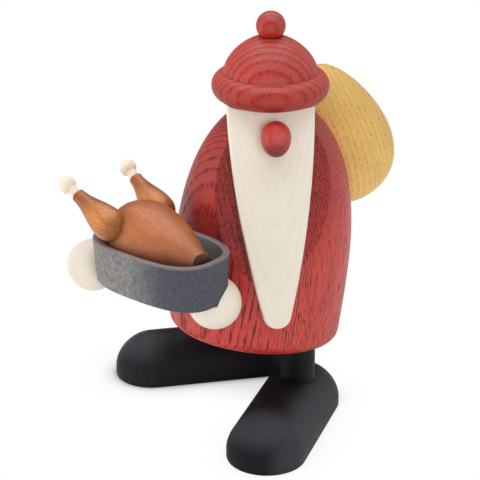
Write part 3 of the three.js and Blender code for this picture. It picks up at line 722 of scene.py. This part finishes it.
def drumstick_profile():
    points = [(0, -DRUMSTICK_RADIUS)]
    for a in quarter(steps=16)[1:]:
        points.append((DRUMSTICK_RADIUS * math.sin(a), -DRUMSTICK_RADIUS * math.cos(a)))
    steps = 36
    for i in range(1, steps):
        slim = (1 - math.cos(math.pi * i / steps)) / 2
        points.append((lerp(DRUMSTICK_RADIUS, DRUMSTICK_END_RADIUS, slim), SHANK * i / steps))
    edge = DRUMSTICK_END_EDGE
    points += [(DRUMSTICK_END_RADIUS, SHANK - edge), (DRUMSTICK_END_RADIUS - edge, SHANK), (0, SHANK)]
    return points


def bone_radius(along):
    """A flared neck running into a knob with a low crown."""
    reach = BONE_SHOULDER if along < BONE_KNOB_RISE else BONE_LENGTH - BONE_KNOB_RISE
    share = min(abs(along - BONE_KNOB_RISE) / reach, 1)
    knob = BONE_KNOB_RADIUS * math.sqrt(1 - share * share)
    if along > BONE_KNOB_RISE:
        return knob
    neck = BONE_NECK_RADIUS + BONE_NECK_FLARE * along
    return -soft_least(-knob, -neck, BONE_FILLET)


def bone_profile():
    points = [(0, -BONE_TENON_LENGTH), (BONE_TENON_RADIUS, -BONE_TENON_LENGTH), (BONE_TENON_RADIUS, 0)]
    steps = 30
    for i in range(steps):
        along = BONE_KNOB_RISE * i / steps
        points.append((bone_radius(along), along))
    crown = BONE_LENGTH - BONE_KNOB_RISE
    for a in quarter(steps=20)[:-1]:
        along = BONE_KNOB_RISE + crown * math.sin(a)
        points.append((bone_radius(along), along))
    points.append((0, BONE_LENGTH))
    return points


def make_drumstick(name, sign, rise, splay):
    spot = (-DRUMSTICK_BACK, -sign * DRUMSTICK_SIDE, DRUMSTICK_UP)
    place = frame_at(goose_place, spot, (0, rise - math.pi / 2, sign * splay))
    bone_place = frame_at(place, (0, 0, SHANK + SEAT_GAP))
    tenon_room = peg(
        "room", BONE_TENON_RADIUS + DOWEL_FIT, -BONE_TENON_LENGTH - HOLE_END_GAP, HOLE_END_GAP, bone_place
    )
    stick = turned(name + "_drum", drumstick_profile(), place, sides=72)
    carve(stick, goose_room(), pan_shell_room(), tenon_room)
    bone = turned(name + "_bone", bone_profile(), bone_place, sides=64)
    return stick, bone


left_stick, left_bone = make_drumstick("left", 1, LEFT_DRUMSTICK_RISE, LEFT_DRUMSTICK_SPLAY)
right_stick, right_bone = make_drumstick("right", -1, RIGHT_DRUMSTICK_RISE, RIGHT_DRUMSTICK_SPLAY)


# Node helpers
class Shader:
    """The nodes of a material or the world, with short ways to add to them. An input that is a socket is
    linked, a value is set."""

    def __init__(self, owner):
        self.owner = owner
        owner.use_nodes = True
        self.tree = owner.node_tree
        self.tree.nodes.clear()

    def put(self, socket, value):
        if isinstance(value, bpy.types.NodeSocket):
            self.tree.links.new(value, socket)
        else:
            socket.default_value = value

    def add(self, kind, **inputs):
        node = self.tree.nodes.new(kind)
        for key, value in inputs.items():
            self.put(node.inputs[key], value)
        return node

    def compute(self, kind, operation, values):
        node = self.tree.nodes.new(kind)
        node.operation = operation
        for socket, value in zip(node.inputs, values):
            self.put(socket, value)
        return node

    def math(self, operation, *values):
        return self.compute("ShaderNodeMath", operation, values).outputs[0]

    def times(self, a, b):
        return self.math("MULTIPLY", a, b)

    def plus(self, a, b):
        return self.math("ADD", a, b)

    def minus(self, a, b):
        return self.math("SUBTRACT", a, b)

    def swing(self, noise, width):
        """A noise value moved so that it swings about zero."""
        return self.times(self.minus(noise, 0.5), width)

    def vector(self, operation, *values):
        return self.compute("ShaderNodeVectorMath", operation, values)

    def along(self, place, way):
        return self.vector("DOT_PRODUCT", place, way).outputs["Value"]

    def stretch(self, place, scale):
        return self.vector("MULTIPLY", place, scale).outputs[0]

    def with_grain(self, place, share):
        """Coordinates that change more slowly along Z, the way of the grain."""
        return self.stretch(place, (1, 1, share))

    def from_pith(self, place, pith, height_share):
        """Distance from a pith line along Z, with a share of the height counted in."""
        off = self.vector("SUBTRACT", place, (pith[0], pith[1], 0)).outputs[0]
        return self.vector("LENGTH", self.with_grain(off, height_share)).outputs["Value"]

    def ramp(self, value, low, high, to_low=0.0, to_high=1.0):
        node = self.tree.nodes.new("ShaderNodeMapRange")
        node.interpolation_type = "SMOOTHSTEP"
        for socket, item in zip(node.inputs, (value, low, high, to_low, to_high)):
            self.put(socket, item)
        return node.outputs[0]

    def mix(self, share, a, b, blend="MIX"):
        node = self.tree.nodes.new("ShaderNodeMix")
        node.data_type = "RGBA"
        node.blend_type = blend
        node.clamp_factor = True
        self.put(node.inputs[0], share)
        self.put(node.inputs[6], a)
        self.put(node.inputs[7], b)
        return node.outputs[2]

    def tinted(self, colour, tint):
        return self.mix(1.0, colour, tint, "MULTIPLY")

    def faded(self, colour, place, fades):
        for way, start, end, at_start, at_end in fades:
            share = self.ramp(self.along(place, way), start, end)
            colour = self.tinted(colour, self.mix(share, (*at_start, 1), (*at_end, 1)))
        return colour

    def noise(self, place, scale, detail, roughness=0.5):
        node = self.add("ShaderNodeTexNoise", Vector=place, Scale=scale, Detail=detail, Roughness=roughness)
        return node.outputs[0]

    def parts(self, vector):
        return self.add("ShaderNodeSeparateXYZ", Vector=vector).outputs

    def place_mm(self):
        coords = self.add("ShaderNodeTexCoord").outputs["Object"]
        return self.stretch(coords, (1 / MM, 1 / MM, 1 / MM))

    def finish(self, colour, roughness, height, bump, depth, specular=0.5):
        bsdf = self.add("ShaderNodeBsdfPrincipled", Roughness=roughness)
        self.put(bsdf.inputs["Base Color"], colour)
        bsdf.inputs["Specular IOR Level"].default_value = specular
        dents = self.add("ShaderNodeBump", Strength=bump, Distance=depth * MM, Height=height)
        self.put(bsdf.inputs["Normal"], dents.outputs[0])
        self.add("ShaderNodeOutputMaterial", Surface=bsdf.outputs[0])
        return self.owner


def linear(channel):
    share = channel / 255
    return share / 12.92 if share <= 0.04045 else ((share + 0.055) / 1.055) ** 2.4


def tone(red, green, blue):
    return (linear(red), linear(green), linear(blue), 1)


def evenly(share):
    return (share, share, share)


def fade(way, start, end, at_start, at_end):
    """A tint that changes between two distances along a direction of the piece's own frame."""
    return (way, start, end, at_start, at_end)


# Woods and stains
PORES_PER_MM = 1.7
PORE_EDGE = 0.04
PORE_COVER = 0.95
PORE_ROUGHNESS = 0.2
CUT_FACE_PORES = 0.13


def ash(name, late, early, pore, pith, spacing, front, wander, pore_size, crowding, fades, tighten=0.0,
        roughness=0.45, grain=0.13, line=None, line_share=0.4, face=None, specular=0.5):
    """Open-pored ash under stain. The growth rings are cylinders about a pith line along Z, and can start
    with a bright broken line. The pores are long dark cells, crowded in the first wood of each ring. A cut
    face takes more stain, and tints along directions paint light and shade into the colour."""
    s = Shader(bpy.data.materials.new(name))
    place = s.place_mm()
    slow = s.noise(s.with_grain(place, 0.3), scale=0.03, detail=2.0)
    fibre = s.noise(s.with_grain(place, 0.06), scale=1.8, detail=3.0, roughness=0.6)
    reach = s.plus(s.from_pith(place, pith, 0.03), s.swing(slow, wander))
    reach = s.plus(reach, s.swing(fibre, 0.4))
    depth = s.minus(reach, front)
    count = s.math("DIVIDE", depth, spacing)
    if tighten:
        count = s.minus(count, s.times(s.times(depth, depth), tighten))
    ring = s.math("FRACT", count)
    first = s.times(s.ramp(ring, 0.0, 0.05), s.ramp(ring, 0.6, 0.14))
    colour = s.mix(first, late, early)
    open_wood = s.times(s.ramp(ring, 0.02, 0.14), s.ramp(ring, 0.55, 0.2))
    crowd = s.plus(s.times(open_wood, crowding[1]), crowding[0])
    if line is not None:
        bright = s.times(s.ramp(ring, 0.0, 0.05), s.ramp(ring, 0.26, 0.08))
        gaps = s.noise(s.with_grain(place, 0.3), scale=0.7, detail=2.0)
        broken = s.times(bright, s.ramp(gaps, 0.35, 0.65, 0.25, 1.0))
        colour = s.mix(s.times(broken, line_share), colour, line)
    # Painted light and shade: tints along directions of the piece
    colour = s.faded(colour, place, fades)
    if face is not None:
        plane, level, tint = face
        cut = s.ramp(s.minus(s.along(place, plane), level), -0.5, -0.2)
        colour = s.mix(cut, colour, s.tinted(colour, tint))
        crowd = s.plus(crowd, s.times(cut, CUT_FACE_PORES))
    cloud = s.noise(place, scale=0.06, detail=3.0)
    shade = s.times(s.ramp(fibre, 0.25, 0.75, 0.86, 1.1), s.ramp(cloud, 0.3, 0.7, 0.93, 1.06))
    grey = s.add("ShaderNodeCombineColor", Red=shade, Green=shade, Blue=shade).outputs[0]
    colour = s.tinted(colour, grey)
    scale = PORES_PER_MM / pore_size
    cell = s.stretch(place, (scale, scale, scale * grain))
    pores = s.add("ShaderNodeTexVoronoi", Vector=cell, Scale=1.0, Randomness=1.0)
    luck = s.add("ShaderNodeSeparateColor", Color=pores.outputs["Color"]).outputs[0]
    size = s.times(crowd, s.ramp(luck, 0.15, 0.8, 0.0, 1.35))
    inside = s.ramp(s.minus(pores.outputs["Distance"], size), PORE_EDGE, -PORE_EDGE)
    colour = s.mix(s.times(inside, PORE_COVER), colour, pore)
    rough = s.ramp(fibre, 0.2, 0.8, roughness - 0.05, roughness + 0.07)
    rough = s.plus(rough, s.times(inside, PORE_ROUGHNESS))
    height = s.minus(s.times(fibre, 0.3), inside)
    return s.finish(colour, rough, height, bump=0.5, depth=0.12, specular=specular)


def maple(name, pale, dark, spacing, pith, rise=0.0, roughness=0.55, lines=0.4, flecks=0.3, fades=()):
    """Pale close-grained wood with faint ring lines and fine flecks. A rise tilts the rings along Z."""
    s = Shader(bpy.data.materials.new(name))
    place = s.place_mm()
    slow = s.noise(s.with_grain(place, 0.25), scale=0.05, detail=2.0)
    fibre = s.noise(s.with_grain(place, 0.06), scale=2.2, detail=4.0, roughness=0.65)
    reach = s.minus(s.from_pith(place, pith, 0.0), s.times(s.parts(place)["Z"], rise))
    reach = s.plus(reach, s.swing(slow, 2.5))
    ring = s.math("FRACT", s.math("DIVIDE", reach, spacing))
    line = s.times(s.ramp(ring, 0.5, 0.95), s.ramp(ring, 1.0, 0.95))
    patch = s.noise(s.with_grain(place, 0.2), scale=0.25, detail=2.0)
    line = s.times(line, s.ramp(patch, 0.3, 0.65, 0.2, 1.0))
    shade = s.plus(s.times(line, lines), s.ramp(fibre, 0.35, 0.8, 0.0, flecks))
    colour = s.faded(s.mix(shade, pale, dark), place, fades)
    rough = s.ramp(fibre, 0.2, 0.8, roughness - 0.05, roughness + 0.08)
    return s.finish(colour, rough, fibre, bump=0.15, depth=0.05)


BLACK_DEEP = tone(14, 14, 18)
BLACK_SOFT = tone(20, 20, 25)
BLACK_PAINTED_SHEEN = tone(53, 52, 57)
BLACK_SPECK = tone(86, 85, 90)


def black_stain(name, outer):
    """Satin black over fine-pored wood, with a painted sheen on the toe and, by a share, on the outer side,
    and a dusting of specks there."""
    s = Shader(bpy.data.materials.new(name))
    place = s.place_mm()
    fibre = s.noise(s.stretch(place, (1, 0.08, 1)), scale=2.0, detail=3.0, roughness=0.6)
    grit = s.noise(place, scale=2.0, detail=2.0, roughness=0.6)
    cloud = s.noise(place, scale=0.05, detail=2.0)
    spot = s.parts(place)
    speck = s.times(s.ramp(grit, 0.55, 0.7), s.ramp(spot["X"], 3.0, 12.0, 0.05, outer + 0.1))
    speck = s.times(speck, s.ramp(cloud, 0.3, 0.6, 0.3, 1.0))
    # The paler top of the toe and the paler outer side are a painted sheen; the specks are dust
    toe = s.times(s.ramp(spot["Y"], -34.0, -49.0), s.ramp(spot["Z"], 8.0, 17.0))
    side = s.ramp(spot["X"], 4.0, 14.0, 0.0, outer)
    colour = s.mix(s.ramp(cloud, 0.3, 0.7), BLACK_DEEP, BLACK_SOFT)
    colour = s.mix(s.math("MAXIMUM", toe, side), colour, BLACK_PAINTED_SHEEN)
    colour = s.mix(s.times(speck, 0.6), colour, BLACK_SPECK)
    rough = s.plus(s.ramp(fibre, 0.2, 0.8, 0.48, 0.58), s.times(speck, 0.1))
    height = s.plus(fibre, s.times(grit, 0.6))
    return s.finish(colour, rough, height, bump=0.18, depth=0.06, specular=0.16)


GREY_DARK = tone(40, 42, 50)
GREY_LIGHT = tone(80, 82, 92)
GREY_FIBRE = tone(90, 90, 97)
GREY_PALE = tone(166, 160, 153)
GREY_INNER_PAINTED_LIGHT = tone(196, 201, 197)
GREY_FLOOR = tone(176, 184, 182)
GREY_RIM = tone(138, 124, 127)


def grey_stain(name):
    """Blue-grey stain on a close wood: a fine speckle, paler at one end and along the rim, and painted
    light inside.
    """
    s = Shader(bpy.data.materials.new(name))
    place = s.place_mm()
    spot = s.parts(place)
    fibre = s.noise(s.with_grain(place, 0.15), scale=1.1, detail=3.0, roughness=0.6)
    grit = s.noise(place, scale=1.7, detail=3.0, roughness=0.7)
    patch = s.noise(s.with_grain(place, 0.6), scale=0.09, detail=4.0, roughness=0.6)
    mottle = s.noise(s.with_grain(place, 0.8), scale=0.42, detail=4.0, roughness=0.75)
    colour = s.mix(s.ramp(grit, 0.34, 0.66), GREY_DARK, GREY_LIGHT)
    colour = s.mix(s.ramp(fibre, 0.35, 0.75, 0.0, 0.3), colour, GREY_FIBRE)
    # Paler in broken patches towards one end
    drift = s.plus(spot["X"], s.swing(patch, 14.0))
    pale_end = s.times(s.ramp(drift, 20.0, -6.0), s.ramp(drift, -36.0, -23.0, 0.4, 1.0))
    pale_patches = s.times(pale_end, s.ramp(mottle, 0.36, 0.64, 0.42, 1.0))
    pale_patches = s.times(pale_patches, s.ramp(grit, 0.32, 0.66, 0.35, 1.0))
    colour = s.mix(s.times(pale_patches, 0.85), colour, GREY_PALE)
    normal = s.add("ShaderNodeTexCoord").outputs["Normal"]
    outward = s.along(s.stretch(normal, (1, 1, 0)), place)
    # Painted light on the inner wall, stronger deeper down where the pan shades it
    inner_wall_painted_light = s.times(s.ramp(outward, -2.0, -6.0), s.ramp(spot["Z"], 18.0, 8.0, 0.45, 0.95))
    inner_wall_painted_light = s.times(inner_wall_painted_light, s.ramp(grit, 0.3, 0.65, 0.5, 1.0))
    colour = s.mix(inner_wall_painted_light, colour, GREY_INNER_PAINTED_LIGHT)
    # The inner floor is paler, partly its own tone and partly painted light against the shade in the pan
    below_rim = s.ramp(spot["Z"], PAN_HEIGHT - 3.0, PAN_HEIGHT - 5.0)
    floor_share = s.times(s.ramp(s.parts(normal)["Z"], 0.7, 0.95), below_rim)
    colour = s.mix(s.times(floor_share, 0.8), colour, GREY_FLOOR)
    rim = s.ramp(spot["Z"], PAN_HEIGHT - 1.3, PAN_HEIGHT - 0.3)
    rim = s.times(rim, s.ramp(grit, 0.3, 0.65, 0.35, 1.0))
    colour = s.mix(s.times(rim, 0.85), colour, GREY_RIM)
    rough = s.ramp(grit, 0.2, 0.8, 0.5, 0.66)
    return s.finish(colour, rough, s.plus(fibre, grit), bump=0.22, depth=0.08)


END_GRAIN_PORE = tone(46, 31, 24)


def roast(name, low, high, line, spacing, pith, lines, roughness, fades, end=None):
    """Oiled fruitwood in roast colours: fine dark flecks, and soft figure along the turned axis. An end is a
    plane through the piece's own origin, past which the wood shows dark end grain."""
    s = Shader(bpy.data.materials.new(name))
    place = s.place_mm()
    slow = s.noise(s.with_grain(place, 0.3), scale=0.09, detail=3.0)
    fibre = s.noise(s.with_grain(place, 0.15), scale=2.2, detail=4.0, roughness=0.65)
    fleck = s.noise(s.with_grain(place, 0.35), scale=1.9, detail=3.0, roughness=0.7)
    reach = s.plus(s.from_pith(place, pith, 0.08), s.swing(slow, 6.0))
    ring = s.math("FRACT", s.math("DIVIDE", reach, spacing))
    streak = s.times(s.ramp(ring, 0.72, 0.96), s.ramp(ring, 1.0, 0.96))
    colour = s.mix(s.ramp(slow, 0.3, 0.7), low, high)
    colour = s.mix(s.ramp(fibre, 0.45, 0.8, 0.0, 0.3), colour, line)
    colour = s.mix(s.times(streak, lines), colour, line)
    colour = s.mix(s.ramp(fleck, 0.42, 0.72, 0.0, 0.6), colour, line)
    colour = s.faded(colour, place, fades)
    if end is not None:
        plane, dark = end
        grain = s.mix(s.ramp(fleck, 0.35, 0.7), dark, END_GRAIN_PORE)
        colour = s.mix(s.ramp(s.along(place, plane), -0.12, -0.04), colour, grain)
    rough = s.ramp(fibre, 0.2, 0.8, roughness - 0.05, roughness + 0.1)
    return s.finish(colour, rough, fibre, bump=0.15, depth=0.05, specular=0.45)


ALONG_Z = (0, 0, 1)
RED_LATE = tone(168, 48, 40)
RED_EARLY = tone(165, 27, 16)
RED_LINE = tone(201, 46, 22)
RED_PORE = tone(74, 6, 3)
HAT_PORE = tone(112, 22, 17)
RED_CUT_TINT = (0.76, 0.3, 0.18, 1)
NOSE_LATE = tone(167, 40, 33)
NOSE_EARLY = tone(161, 29, 21)
GOLD_LATE = tone(219, 178, 103)
GOLD_EARLY = tone(213, 170, 93)
GOLD_LINE = tone(230, 190, 114)
GOLD_PORE = tone(128, 86, 36)
BEARD_PALE = tone(236, 226, 211)
BEARD_DARK = tone(216, 197, 168)
HAND_PALE = tone(238, 228, 213)
FAR_HAND_PALE = tone(236, 226, 212)
HAND_DARK = tone(218, 200, 172)
BONE_PALE = tone(238, 224, 201)
BONE_DARK = tone(220, 198, 165)
GOOSE_LOW = tone(141, 85, 60)
GOOSE_HIGH = tone(163, 106, 79)
GOOSE_FLECK = tone(106, 61, 42)
GOOSE_END = tone(92, 60, 44)
DRUM_LOW = tone(156, 90, 44)
DRUM_HIGH = tone(206, 134, 70)
DRUM_FLECK = tone(100, 52, 26)
BEECH_PALE = tone(214, 182, 140)
BEECH_DARK = tone(176, 138, 96)
coat_ash = ash(
    "coat_ash", RED_LATE, RED_EARLY, RED_PORE, pith=(8, 260), spacing=2.8, front=305, tighten=0.0064,
    wander=4.0, pore_size=0.82, grain=0.075, line=RED_LINE, line_share=0.7, specular=0.72,
    crowding=(0.22, 0.4), face=(face_out, face_level, RED_CUT_TINT),
    # Paler low down and darker towards the upper front: painted light below, painted shade over the dome
    # behind the pan and goose
    fades=[fade((0, -1, 1), 30, 105, (1.41, 1.36, 1.22), evenly(0.9))],
)
hat_ash = ash(
    "hat_ash", RED_LATE, RED_EARLY, HAT_PORE, pith=(-95, 88), spacing=3.2, front=1.9, wander=2.5,
    pore_size=0.65, line=RED_LINE, line_share=0.5, crowding=(0.22, 0.22),
    # Deep crimson low on the brim, paler and pinker from the top of the brim up: painted shade below, painted
    # sheen above
    fades=[fade(ALONG_Z, 0, 14, (0.73, 0.3, 0.15), (1.14, 2.1, 2.3))],
)
bobble_ash = ash(
    "bobble_ash", RED_LATE, RED_EARLY, HAT_PORE, pith=(-70, 66), spacing=2.6, front=0.5, wander=2.0,
    pore_size=0.7, line=RED_LINE, line_share=0.2, specular=0.55, crowding=(0.08, 0.22),
    # Pinker and paler towards the top, more saturated below: a painted sheen
    fades=[fade(ALONG_Z, -5, 4, (1.03, 0.6, 0.45), (1, 1.8, 2.0))],
)
nose_ash = ash(
    "nose_ash", NOSE_LATE, NOSE_EARLY, RED_PORE, pith=(-8, 60), spacing=2.4, front=1.0, wander=2.0,
    roughness=0.47, pore_size=0.7, specular=0.55, crowding=(0.03, 0.15),
    # Dark underneath, pale pink across the middle and deep red on top: painted shade below and a painted
    # highlight across the middle
    fades=[
        fade(ALONG_Z, -7.5, 0, (0.43, 0.55, 0.65), (1.26, 3.0, 3.7)),
        fade(ALONG_Z, 0, 5, evenly(1), (1.05, 0.34, 0.22)),
    ],
)
sack_ash = ash(
    "sack_ash", GOLD_LATE, GOLD_EARLY, GOLD_PORE, pith=(60, 90), spacing=3.2, front=0.6, wander=4.0,
    roughness=0.5, pore_size=1.1, grain=0.5, line=GOLD_LINE, specular=0.25, crowding=(0.08, 0.18),
    # Paler towards its lower end: painted light on the lower part
    fades=[fade(ALONG_Z, -25, 5, (1.17, 1.22, 1.3), evenly(1))],
)
beard_maple = maple(
    "beard_maple", BEARD_PALE, BEARD_DARK, spacing=2.1, pith=(0, 10), rise=0.148, lines=0.2, flecks=0.16,
    # Slightly paler towards the top: painted light that lifts the shade under the brim
    fades=[fade(ALONG_Z, 0, 26, evenly(0.99), (1.06, 1.09, 1.09))],
)
hand_maple = maple("hand_maple", HAND_PALE, HAND_DARK, spacing=2.2, pith=(8, 45), lines=0.2, flecks=0.2)
# A copy of the hand wood with painted light and shade: paler towards the pan, darker on its outer side
far_hand_maple_painted_shade = maple(
    "far_hand_maple_painted_shade", FAR_HAND_PALE, HAND_DARK, spacing=2.2, pith=(8, 45), lines=0.12, flecks=0.2,
    fades=[fade((-1, 0, 0), -9, 2, evenly(1.07), evenly(0.88))],
)
bone_maple = maple("bone_maple", BONE_PALE, BONE_DARK, spacing=2.4, pith=(5, 30), lines=0.2, flecks=0.15)
# The left shoe has more painted sheen on its outer side than the other black pieces
left_shoe_black_painted_sheen = black_stain("left_shoe_black_painted_sheen", outer=0.9)
shoe_black = black_stain("shoe_black", outer=0.2)
pan_grey = grey_stain("pan_grey")
to_goose = goose_axis_place.inverted().to_3x3()
goose_roast = roast(
    "goose_roast", GOOSE_LOW, GOOSE_HIGH, GOOSE_FLECK, spacing=4.2, pith=(30, 50), lines=0.1, roughness=0.35,
    end=(to_goose @ cut_out, GOOSE_END),
    # Paler and warmer towards the top and darker underneath: painted light on top, painted shade below
    fades=[fade(to_goose @ Vector((0, 0, 1)), -4, 15, (0.9, 0.83, 0.78), (1.58, 1.32, 0.84))],
)
drum_roast = roast(
    "drum_roast", DRUM_LOW, DRUM_HIGH, DRUM_FLECK, spacing=3.0, pith=(24, -10), lines=0.32, roughness=0.34,
    # Paler along the neck and darker towards the thin end; the thick end is painted with shade where it sits
    # against the goose
    fades=[
        fade(ALONG_Z, 4, 15, (1.15, 1.15, 1.17), (0.81, 0.72, 0.71)),
        fade((0, 0, -1), -2, 6, evenly(1), (0.54, 0.48, 0.46)),
    ],
)
dowel_beech = maple("dowel_beech", BEECH_PALE, BEECH_DARK, spacing=2.0, pith=(5, 20))

# Pieces, each with the node it stands for, its slot and its material
SHARP_ANGLE = 38 * RAD
PIECES = [
    (coat, "coat_body", "red_ash", coat_ash),
    (hat, "hat", "red_ash", hat_ash),
    (bobble, "hat_bobble", "red_ash", bobble_ash),
    (nose, "nose", "nose_red", nose_ash),
    (beard, "beard", "pale_maple", beard_maple),
    (sack, "sack", "gold_ash", sack_ash),
    (left_leg, "left_leg", "black_stain", shoe_black),
    (right_leg, "right_leg", "black_stain", shoe_black),
    (left_shoe, "left_shoe", "black_stain", left_shoe_black_painted_sheen),
    (right_shoe, "right_shoe", "black_stain", shoe_black),
    (left_hand, "left_hand", "pale_maple", hand_maple),
    (right_hand, "right_hand", "pale_maple", far_hand_maple_painted_shade),
    (pan, "roasting_pan", "grey_stain", pan_grey),
    (goose, "goose_body", "roast_brown", goose_roast),
    (left_stick, "left_drumstick", "roast_brown", drum_roast),
    (right_stick, "right_drumstick", "roast_brown", drum_roast),
    (left_bone, "left_leg_bone", "pale_maple", bone_maple),
    (right_bone, "right_leg_bone", "pale_maple", bone_maple),
]
for piece, node, slot, material in PIECES:
    piece.data.materials.clear()
    piece.data.materials.append(material)
    for polygon in piece.data.polygons:
        polygon.use_smooth = True
        polygon.material_index = 0
    piece.data.set_sharp_from_angle(angle=SHARP_ANGLE)
    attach(piece, "root")
    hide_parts(node)

# The dowels stay as the solids have them, in beech
replaced = {node for piece, node, slot, material in PIECES}
for name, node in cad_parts.items():
    if name not in replaced:
        for index in range(len(node.data.materials)):
            node.data.materials[index] = dowel_beech

# Floor, light and camera
CAMERA_AZIMUTH = 47 * RAD
CAMERA_RISE = 22.8 * RAD
CAMERA_DISTANCE = 765
CAMERA_TARGET = (25.49, -32.40, 98.0)
CAMERA_CLIP_START = 0.01
IMAGE_SIDE = 480
FOCAL_PIXELS = 1696
SENSOR = 36
FLOOR_HALF = 3000
FLOOR_COLOUR = (0.93, 0.93, 0.93, 1)
WHITE = (1, 1, 1, 1)
CONTACT_REACH = 30
CONTACT_SAMPLES = 16
CONTACT_DARK = 0.03
CONTACT_PALE = 0.85
toward = Vector((math.sin(CAMERA_AZIMUTH), -math.cos(CAMERA_AZIMUTH), 0))
right = Vector((math.cos(CAMERA_AZIMUTH), math.sin(CAMERA_AZIMUTH), 0))
up = Vector((0, 0, 1))
target = FIGURE @ (Vector(CAMERA_TARGET) * MM)
floor = mesh_object(
    "floor",
    [(x * FLOOR_HALF, y * FLOOR_HALF, 0) for x, y in ((-1, -1), (1, -1), (1, 1), (-1, 1))],
    [(0, 1, 2, 3)],
    Matrix.Identity(4),
)
# White where the camera sees it, with a painted shadow close to the object, deepest towards its back
s = Shader(bpy.data.materials.new("floor_white"))
seen = s.add("ShaderNodeLightPath").outputs["Is Camera Ray"]
near = s.add("ShaderNodeAmbientOcclusion", Distance=CONTACT_REACH * MM)
near.samples = CONTACT_SAMPLES
ahead = s.minus(s.along(s.place_mm(), tuple(toward)), toward.dot(target) / MM)
painted_shadow_depth = s.ramp(ahead, -45, -22, CONTACT_DARK, CONTACT_PALE)
shade = s.ramp(near.outputs["AO"], 0.2, 0.98, painted_shadow_depth, 1.0)
glow = s.add("ShaderNodeEmission", Color=WHITE, Strength=shade)
diffuse = s.add("ShaderNodeBsdfDiffuse", Color=FLOOR_COLOUR)
both = s.add("ShaderNodeMixShader")
for socket, source in zip(both.inputs, (seen, diffuse.outputs[0], glow.outputs[0])):
    s.put(socket, source)
s.add("ShaderNodeOutputMaterial", Surface=both.outputs[0])
floor.data.materials.append(s.owner)

# The sky is white to the camera, dim on matt surfaces, and has brighter walls in reflections
SKY_ON_MATT = 0.22
SKY_LEFT = 0.65
SKY_RIGHT = 0.9
SKY_FRONT = 0.33
SKY_TOP = 0.14
scene = bpy.context.scene
world = bpy.data.worlds.new("studio")
scene.world = world
w = Shader(world)
path = w.add("ShaderNodeLightPath").outputs
outlook = w.add("ShaderNodeTexCoord").outputs["Generated"]


def sky_toward(way, strength):
    """Brightness of the white studio walls on one side, as a glossy surface sees them."""
    return w.math("MAXIMUM", w.along(outlook, tuple(way * strength)), 0)


walls = sky_toward(up, SKY_TOP)
for way, strength in ((-right, SKY_LEFT), (right, SKY_RIGHT), (toward, SKY_FRONT)):
    walls = w.plus(walls, sky_toward(way, strength))
glossy = w.ramp(path["Is Glossy Ray"], 0, 1, SKY_ON_MATT, walls)
level = w.math("MAXIMUM", path["Is Camera Ray"], glossy)
sky = w.add("ShaderNodeBackground", Color=WHITE, Strength=level)
w.add("ShaderNodeOutputWorld", Surface=sky.outputs[0])


def add_softbox(name, spot, width, height, power, mirrored=False):
    """A soft area lamp aimed at the object, in metres and watts."""
    light = bpy.data.lights.new(name, "AREA")
    light.shape = "RECTANGLE"
    light.size = width
    light.size_y = height
    light.energy = power
    lamp = bpy.data.objects.new(name, light)
    scene.collection.objects.link(lamp)
    lamp.location = spot
    lamp.visible_glossy = mirrored
    lamp.rotation_euler = (target - spot).to_track_quat("-Z", "Y").to_euler()


lens = bpy.data.cameras.new("camera")
lens.sensor_width = SENSOR
lens.sensor_fit = "HORIZONTAL"
lens.lens = SENSOR * FOCAL_PIXELS / IMAGE_SIDE
lens.clip_start = CAMERA_CLIP_START
camera = bpy.data.objects.new("camera", lens)
scene.collection.objects.link(camera)
camera_way = toward * math.cos(CAMERA_RISE) + up * math.sin(CAMERA_RISE)
camera.location = target + camera_way * CAMERA_DISTANCE * MM
camera.rotation_euler = (target - camera.location).to_track_quat("-Z", "Y").to_euler()
scene.camera = camera

above = target - toward * 0.15 + up * 1.05
above_back = target - toward * 0.7 + up * 0.85
front_right = target + toward * 0.97 + right * 0.32 + up * 0.3
left_side = target - right * 1.05 + up * 0.24
back_right = target - toward * 0.7 + right * 0.75 + up * 0.4
add_softbox("overhead", above, width=1.2, height=1.4, power=10.3, mirrored=True)
add_softbox("over_back", above_back, width=1.2, height=0.6, power=1.0, mirrored=True)
add_softbox("front_right", front_right, width=0.8, height=0.5, power=4.6)
add_softbox("left", left_side, width=0.7, height=0.5, power=6.5)
add_softbox("back_right", back_right, width=0.7, height=0.6, power=1.8)

scene.view_settings.view_transform = "Standard"
